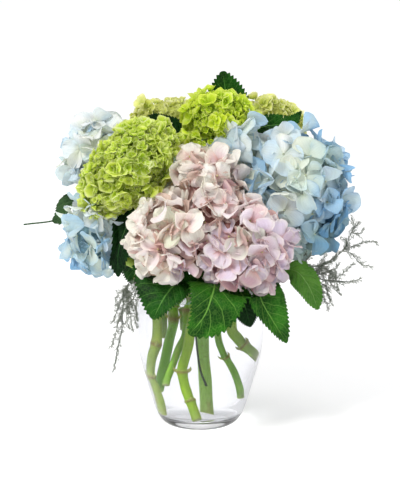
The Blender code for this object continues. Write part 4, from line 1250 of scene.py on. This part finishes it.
def make_sprig(name, spec, seed):
    rng = np.random.default_rng(seed)
    bag = Bag()
    grey, silver, dark = lin(128, 136, 118), lin(206, 208, 200), lin(66, 80, 62)
    stalk = catmull(spec["stalk"], 6)
    v, f = tube_mesh(stalk, np.linspace(0.95, 0.24, len(stalk)), 6)
    bag.add(v, f, dark * 1.2)
    ends = list(spec["twigs"]) + EXTRA_TWIGS[name]
    lines = [stalk[int(len(stalk) * 0.62):]]
    for i, tw in enumerate(ends):
        line = catmull([spec["stalk"][tw[0]]] + list(tw[1:]), 6)
        v, f = tube_mesh(line, np.linspace(0.34, 0.15, len(line)), 5)
        bag.add(v, f, grey * 0.8)
        lines.append(line)
    # short side twigs
    for line in list(lines):
        run = np.concatenate([[0], np.cumsum(np.linalg.norm(np.diff(line, axis=0), axis=1))])
        for s in np.arange(2.5, run[-1] - 1.5, 2.7):
            q = np.array([np.interp(s, run, line[:, i]) for i in range(3)])
            i = min(len(line) - 2, int(np.searchsorted(run, s)))
            tang = unit(line[min(i + 1, len(line) - 1)] - line[max(i - 1, 0)])
            side = unit(np.cross(tang, rng.normal(0, 1, 3)))
            long = rng.uniform(3.5, 9.0) * (1 - 0.55 * s / run[-1])
            way = unit(tang * 1.2 + side)
            twig = catmull([q, q + way * long * 0.5, q + way * long + tang * 1.0], 4)
            v, f = tube_mesh(twig, np.linspace(0.22, 0.14, len(twig)), 4)
            bag.add(v, f, grey * 0.9)
            lines.append(twig)
    # the fine barbs with their dry flowers
    for line in lines:
        run = np.concatenate([[0], np.cumsum(np.linalg.norm(np.diff(line, axis=0), axis=1))])
        for s in np.arange(0.6, run[-1], 0.60):
            q = np.array([np.interp(s, run, line[:, i]) for i in range(3)])
            i = min(len(line) - 2, int(np.searchsorted(run, s)))
            tang = unit(line[min(i + 1, len(line) - 1)] - line[max(i - 1, 0)])
            side = unit(np.cross(tang, rng.normal(0, 1, 3)))
            long = rng.uniform(0.9, 2.9) * (1 - 0.35 * s / run[-1])
            way = unit(tang * rng.uniform(0.4, 1.2) + side)
            br = np.stack([q, q + way * long * 0.5 + rng.normal(0, 0.08, 3), q + way * long])
            v, f = tube_mesh(br, [0.15, 0.13, 0.08], 3)
            bag.add(v, f, grey * rng.uniform(0.7, 1.2))
            for at in (0.55, 1.0):
                o = q + way * long * at + rng.normal(0, 0.12, 3)
                w = unit(way + rng.normal(0, 0.6, 3))
                bud = np.stack([o, o + w * rng.uniform(0.3, 0.5), o + w * rng.uniform(0.7, 1.1)])
                v, f = tube_mesh(bud, [0.10, 0.30, 0.06], 4)
                pick = rng.uniform()
                tone = silver * rng.uniform(0.7, 1.1) if pick < 0.55 else (grey if pick < 0.8 else dark)
                bag.add(v, f, tone)
    v, f, c, _, _ = bag.all()
    mesh_object(name + "_plant", v, f, MATERIALS["sprig"], c, replaces=(name,))


# ---- vase and water --------------------------------------------------------------------------
def lathe(name, profile, mat, segs=160, replaces=()):
    prof = np.array(profile, float)
    a = np.arange(segs) * 2 * np.pi / segs
    v = np.stack([prof[:, 0:1] * np.cos(a)[None], prof[:, 0:1] * np.sin(a)[None],
                  np.broadcast_to(prof[:, 1:2], (len(prof), segs))], -1)
    f = grid_faces(len(prof), segs, closed=True)
    v = v.reshape(-1, 3)
    n = len(v)
    k = np.arange(segs)
    v = np.concatenate([v, [[0, 0, prof[0, 1]], [0, 0, prof[-1, 1]]]])
    first = np.stack([np.full(segs, n), (k + 1) % segs, k], -1)
    last = np.stack([np.full(segs, n + 1), (len(prof) - 1) * segs + k, (len(prof) - 1) * segs + (k + 1) % segs], -1)
    return mixed_object(name, v, f, np.concatenate([first, last]), mat, np.ones((len(v), 3)),
                        replaces=replaces)


def make_vase():
    zr = np.array(VASE_PROFILE)
    fine_z = np.concatenate([np.array([0.0, 0.15, 0.5, 1.0, 2.0, 3.0, 4.5, 6.5, 9.0, 12.0, 15.0]), np.arange(18.0, 146.1, 4.0)])
    # smooth curve through the profile heights
    pts = catmull([(z, r) for z, r in VASE_PROFILE], 8)
    order = np.argsort(pts[:, 0])
    pz, pr = pts[order, 0], pts[order, 1]
    outer_r = np.interp(fine_z, pz, pr)
    outer = [(r, z) for r, z in zip(outer_r, fine_z)]
    lip = [(61.9, 147.4), (62.9, 148.4), (63.5, 149.2), (63.4, 149.8), (62.7, 150.0), (61.7, 149.9), (60.9, 149.4), (60.0, 148.6)]
    inner_z = fine_z[::-1]
    inner_z = inner_z[inner_z > FLOOR_THICKNESS + 5.0]
    inner = [(np.interp(z, pz, pr) - WALL, z) for z in inner_z]
    zi = inner[-1]
    floor = [(41.4, 12.9), (39.4, 11.3), (36.6, 10.1), (33.0, 9.4), (28.0, 9.0), (20.0, 8.8), (10.0, 8.7)]
    bottom = [(0.01, 0.9), (8.0, 0.85), (18.0, 0.7), (26.0, 0.35), (30.0, 0.05), (31.5, 0.0)]
    profile = bottom[1:] + outer + lip + inner + floor
    lathe("vase_glass", profile, MATERIALS["vase_glass"], replaces=("glass_vase",))
    # water up to a little under the neck, creeping up the glass at its edge
    level = WATER_LEVEL
    wz = inner_z[::-1]
    wz = wz[wz < level - 1.0]
    wr = [(np.interp(z, pz, pr) - WALL + WATER_OVERLAP, z) for z in wz]
    edge = np.interp(level, pz, pr) - WALL + WATER_OVERLAP
    body = [(r, z - 0.2) for r, z in reversed(floor)] + wr
    top = [(edge, level + 0.9), (edge - 0.9, level + 0.15), (edge - 2.2, level - 0.05), (edge - 5.0, level), (30.0, level), (10.0, level)]
    lathe("water", body + top, MATERIALS["water"])


# ---- room ----------------------------------------------------------------------------------------
def make_room():
    g = Graph("floor_paper")
    n = g.noise(g.obj(), 9.0, 3.0)
    g.put(g.bsdf.inputs["Base Color"], g.mix(g.ramp(n, 0.3, 0.7), rgba((0.955, 0.955, 0.96)), rgba((0.965, 0.965, 0.965))))
    g.bsdf.inputs["Roughness"].default_value = 0.9
    g.bsdf.inputs["Specular IOR Level"].default_value = 0.1
    g.bsdf.inputs["Emission Color"].default_value = (1.0, 1.0, 1.0, 1.0)
    far = g.node("VectorMath", _operation="LENGTH")
    g.put(far.inputs[0], g.obj())
    g.put(g.bsdf.inputs["Emission Strength"], g.ramp(far.outputs["Value"], 0.4, 3.0, FLOOR_GLOW, FAR_GLOW))
    bm = bmesh.new()
    bmesh.ops.create_grid(bm, x_segments=8, y_segments=8, size=30.0)
    mesh = bpy.data.meshes.new("floor")
    bm.to_mesh(mesh)
    bm.free()
    mesh.materials.append(g.mat)
    floor = bpy.data.objects.new("floor", mesh)
    floor.location = (0, 0, -0.0003)
    bpy.context.scene.collection.objects.link(floor)
    world = bpy.data.worlds.new("studio")
    bpy.context.scene.world = world
    world.use_nodes = True
    bg = world.node_tree.nodes["Background"]
    # a little darker towards the horizon, as in a room with a lit ceiling
    t = world.node_tree
    sep = t.nodes.new("ShaderNodeSeparateXYZ")
    t.links.new(t.nodes.new("ShaderNodeTexCoord").outputs["Generated"], sep.inputs[0])
    rng = t.nodes.new("ShaderNodeMapRange")
    rng.interpolation_type = "SMOOTHSTEP"
    rng.inputs["From Min"].default_value = 0.02
    rng.inputs["From Max"].default_value = 0.40
    rng.inputs["To Min"].default_value = 0.66
    rng.inputs["To Max"].default_value = 1.0
    t.links.new(sep.outputs["Z"], rng.inputs["Value"])
    t.links.new(rng.outputs["Result"], bg.inputs["Color"])
    bg.inputs["Strength"].default_value = WORLD_STRENGTH
    # the paper sweep behind the object is as white as the floor
    path = t.nodes.new("ShaderNodeLightPath")
    seen = t.nodes.new("ShaderNodeMath")
    seen.operation = "MAXIMUM"
    t.links.new(path.outputs["Is Camera Ray"], seen.inputs[0])
    t.links.new(path.outputs["Is Transmission Ray"], seen.inputs[1])
    sweep = t.nodes.new("ShaderNodeBackground")
    sweep.inputs["Color"].default_value = (1.0, 1.0, 1.0, 1.0)
    sweep.inputs["Strength"].default_value = 1.0
    # dark cards low down beside the camera draw the outline of the glass
    cards = t.nodes.new("ShaderNodeMapRange")
    cards.interpolation_type = "SMOOTHSTEP"
    cards.inputs["From Min"].default_value = 0.0
    cards.inputs["From Max"].default_value = 0.65
    cards.inputs["To Min"].default_value = 0.06
    cards.inputs["To Max"].default_value = 0.80
    t.links.new(sep.outputs["Z"], cards.inputs["Value"])
    mirror = t.nodes.new("ShaderNodeBackground")
    t.links.new(cards.outputs["Result"], mirror.inputs["Color"])
    mirror.inputs["Strength"].default_value = WORLD_STRENGTH
    lit = t.nodes.new("ShaderNodeMixShader")
    t.links.new(path.outputs["Is Glossy Ray"], lit.inputs[0])
    t.links.new(bg.outputs[0], lit.inputs[1])
    t.links.new(mirror.outputs[0], lit.inputs[2])
    both = t.nodes.new("ShaderNodeMixShader")
    t.links.new(seen.outputs[0], both.inputs[0])
    t.links.new(lit.outputs[0], both.inputs[1])
    t.links.new(sweep.outputs[0], both.inputs[2])
    t.links.new(both.outputs[0], t.nodes["World Output"].inputs["Surface"])
    for name, loc, size, power, colour in LAMPS:
        data = bpy.data.lights.new(name, "AREA")
        data.shape = "DISK"
        data.size = size
        data.energy = power
        data.color = colour
        lamp = bpy.data.objects.new(name, data)
        lamp.location = loc
        lamp.rotation_mode = "QUATERNION"
        lamp.rotation_quaternion = (Vector((0, 0, 0.2)) - Vector(loc)).to_track_quat("-Z", "Y")
        bpy.context.scene.collection.objects.link(lamp)


WATER_LEVEL = 134.0
WATER_OVERLAP = 0.5
WORLD_STRENGTH = 0.66
FLOOR_GLOW = 0.26
FAR_GLOW = 0.40
LAMPS = [
    ("key", (-0.9, -1.2, 1.8), 0.55, 27.0, (1.0, 0.99, 0.97)),
    ("fill", (1.4, -1.0, 0.9), 1.2, 3.0, (0.97, 0.98, 1.0)),
    ("top", (0.1, 0.5, 1.9), 1.0, 6.0, (1.0, 1.0, 1.0)),
]
STEM_COLOURS = {
    "stem_blue_left_lower": (158, 190, 74), "stem_blue_left_upper": (118, 184, 22),
    "stem_green_left": (128, 184, 40), "stem_pink": (150, 192, 30), "stem_green_top": (156, 204, 92),
    "stem_lime_back_right": (122, 184, 44), "stem_blue_right": (146, 188, 58),
    "stem_blue_back": (124, 176, 66), "stem_pink_back": (124, 176, 66), "stem_lime_back_left": (124, 176, 60),
}


def main():
    make_camera()
    make_room()
    petal_material("petal_pink", 0.55, 0.34, 0.24, 0.10, 0.42)
    petal_material("petal_blue", 0.55, 0.30, 0.24, 0.10, 0.42)
    petal_material("petal_green", 0.5, 0.12, 0.36, 0.05, 0.35)
    stalk_material()
    stem_material()
    sprig_material()
    clear_material("vase_glass", 1.50, (0.915, 0.918, 0.935), (0.975, 0.98, 0.985), 0.30)
    clear_material("water", 1.33, (0.985, 0.988, 0.992), (0.985, 0.99, 0.99), 0.08)
    leaf_material("leaf_green", lin(8, 44, 8), lin(26, 84, 14), lin(88, 140, 62))
    leaf_material("leaf_fresh", lin(14, 60, 8), lin(44, 110, 20), lin(112, 164, 70))
    leaf_material("leaf_right", lin(16, 62, 10), lin(48, 112, 26), lin(110, 160, 70), blemish=(0.30, 0.22))
    # a darker copy of the leaf look for leaves that stand in shade: painted shade
    leaf_material("leaf_painted_shade", lin(4, 28, 8), lin(12, 50, 14), lin(44, 88, 40))
    leaf_material("leaf_pale", lin(70, 124, 44), lin(98, 152, 60), lin(136, 180, 100), rough=0.6)
    leaf_material("leaf_grey", lin(34, 62, 36), lin(58, 90, 52), lin(96, 126, 84), rough=0.6)

    sh = shapes()
    make_vase()
    for i, (name, spec) in enumerate(STEMS.items()):
        make_stem(name, spec, 11 + i)

    mophead("pink_flower_head", sh["pink_flower_head"], pink_colours, 5, 18.8, 15.2, "pink_florets",
            lin(206, 196, 150), lin(176, 168, 120), lin(150, 96, 92), tilt=0.42, material="petal_pink",
            lift=(-0.30, 1.15), bend=(-1.4, 1.2), cup=(-0.2, 0.8), ruffle=2.0, fold=0.30, grow=-11.0,
            inner_painted_shade=(0.78, 0.62, 0.59))
    mophead("blue_flower_head_right", sh["blue_flower_head_right"], blue_colours(blue_right_map, blue_right_tone_and_shade), 7, 20.0, 17.0,
            "blue_florets", lin(206, 214, 190), lin(150, 172, 120), lin(148, 178, 190), tilt=0.34,
            material="petal_blue", lift=(-0.15, 0.6), bend=(-0.9, 0.6), cup=(-0.1, 0.5), ruffle=1.1,
            extra=(np.array([(30.4, -8.0, 290.0), (27.5, -10.0, 277.4), (38.3, -4.0, 298.3), (42.3, -2.0, 293.1), (31.4, -12.0, 263.8), (39.1, -14.0, 283.9), (49.3, 4.0, 301.3), (54.0, -18.0, 240.9), (61.8, -20.0, 234.3), (45.1, -16.0, 252.5)]),
                   unit(np.array([(-0.6, -0.7, 0.4), (-0.7, -0.7, 0.1), (-0.5, -0.7, 0.5), (-0.3, -0.8, 0.5), (-0.7, -0.7, 0.0), (-0.4, -0.9, 0.2), (-0.3, -0.7, 0.6), (-0.5, -0.9, 0.1), (-0.4, -0.9, -0.1), (-0.6, -0.8, 0.1)]))))
    mophead("blue_flower_head_left_upper", sh["blue_flower_head_left_upper"], blue_colours(blue_left_map), 9, 18.0, 15.0,
            "blue_florets", lin(214, 218, 190), lin(160, 178, 130), lin(170, 190, 196), tilt=0.34,
            material="petal_blue", lift=(-0.1, 0.6), bend=(-0.9, 0.5), cup=(-0.1, 0.45), ruffle=1.3, grow=-10.0,
            shift=(4.0, 0.0, 6.5))
    mophead("blue_flower_head_left_lower", sh["blue_flower_head_left_lower"], blue_colours(blue_low_map), 12, 18.5, 15.0,
            "blue_florets", lin(206, 214, 190), lin(150, 172, 120), lin(140, 178, 202), tilt=0.34,
            material="petal_blue", lift=(-0.1, 0.6), bend=(-0.9, 0.5), cup=(-0.1, 0.5), ruffle=1.3, grow=-9.5,
            extra=(np.array([(-113.6, -24.0, 225.1), (-107.4, -28.0, 229.7), (-100.6, -30.0, 217.2)]),
                   unit(np.array([(-0.3, -0.8, 0.4), (-0.2, -0.9, 0.3), (0.0, -0.9, 0.3)]))))
    mophead("blue_flower_head_back", sh["blue_flower_head_back"], blue_colours(blue_back_map), 13, 19.0, 17.5,
            "blue_florets", lin(206, 214, 190), lin(150, 172, 120), lin(148, 178, 190), tilt=0.34,
            material="petal_blue", lift=(-0.1, 0.5), bend=(-0.9, 0.5), cup=(-0.1, 0.4), ruffle=1.1)
    mophead("pink_flower_head_back", sh["pink_flower_head_back"], pink_colours, 15, 19.0, 17.0, "pink_florets",
            lin(206, 196, 150), lin(176, 168, 120), lin(150, 96, 92), tilt=0.38, material="petal_pink",
            lift=(-0.2, 0.7), bend=(-1.0, 0.6), cup=(-0.1, 0.5), ruffle=1.2)

    vivid = (lin(206, 232, 66), lin(232, 248, 98), lin(243, 252, 158), lin(250, 254, 206))
    top = (lin(206, 236, 36), lin(232, 250, 62), lin(240, 252, 112), lin(247, 254, 164))
    soft = (lin(236, 243, 124), lin(245, 249, 158), lin(249, 251, 190), lin(252, 252, 220))
    rosettes = ([(-13.7, -8.0, 289.0), (-8.8, -10.0, 286.3), (-18.7, -6.0, 285.7), (-12.7, -10.0, 297.1), (-5.9, -12.0, 292.5), (0.0, -13.0, 288.6), (4.9, -13.0, 287.7), (10.8, -12.0, 288.5), (-2.9, -14.0, 285.8), (-14.7, -8.0, 283.0), (-21.6, -4.0, 288.4), (-7.9, -5.0, 289.6), (-3.9, -8.0, 289.0), (-10.8, -3.0, 290.3), (-6.9, -6.0, 293.6), (-2.0, -9.0, 291.1), (-9.9, -2.0, 287.2)],
                [(-0.3, -0.9, -0.2)] * 17)
    tuft = ([(-22.4, -22.0, 288.9), (-25.2, -26.0, 282.6), (-20.4, -20.0, 293.5)], [(0.6, -0.8, 0.1), (0.7, -0.7, 0.0), (0.6, -0.7, 0.4)])
    green_head("green_flower_head_left", sh["green_flower_head_left"], green_colours(vivid), 21, 6.2, 5.0,
               lin(150, 178, 44), cluster=6.5, extra=tuft)
    green_head("green_flower_head_top", sh["green_flower_head_top"], green_colours(top), 22, 6.0, 5.0,
               lin(150, 182, 34), cluster=4.2, extra=rosettes)
    green_head("lime_flower_head_back_left", sh["lime_flower_head_back_left"], green_colours(soft), 23, 6.0, 5.2,
               lin(196, 204, 100), grow=-7.0,
               extra=([(-67.5, 38.0, 306.2), (-62.4, 38.0, 312.2), (-57.3, 38.0, 317.3), (-62.4, 36.0, 305.4), (-56.3, 36.0, 311.5), (-51.2, 36.0, 317.5), (-67.4, 36.0, 301.4), (-59.3, 34.0, 299.6), (-64.5, 40.0, 309.0), (-54.3, 38.0, 314.2), (-60.4, 36.0, 302.4), (-53.2, 34.0, 306.6), (-65.2, 32.0, 303.9), (-50.2, 34.0, 312.7)],
                      [(-0.4, -0.6, 0.7)] * 14))
    green_head("lime_flower_head_back_right", sh["lime_flower_head_back_right"], green_colours(soft), 24, 6.0, 5.2,
               lin(196, 204, 100), grow=-6.0)

    looks = {"leaf_front_left": "leaf_green", "leaf_left_inner": "leaf_painted_shade", "leaf_front_centre": "leaf_fresh",
             "leaf_front_dark": "leaf_painted_shade", "leaf_front_right": "leaf_right", "leaf_right_pale": "leaf_pale",
             "leaf_top": "leaf_green", "leaf_top_right": "leaf_green", "leaf_between_greens": "leaf_painted_shade",
             "leaf_left_narrow": "leaf_grey", "leaf_back_left": "leaf_green", "leaf_back_right": "leaf_green",
             "leaf_back_top": "leaf_green"}
    for i, (name, spec) in enumerate(LEAVES.items()):
        make_leaf(name, spec, sh, looks[name], 40 + i)

    for i, (name, spec) in enumerate(SPRIGS.items()):
        make_sprig(name, spec, 60 + i)

    bpy.context.scene.view_settings.view_transform = "Standard"
    bpy.context.scene.view_settings.look = "None"
    bpy.context.view_layer.update()


main()
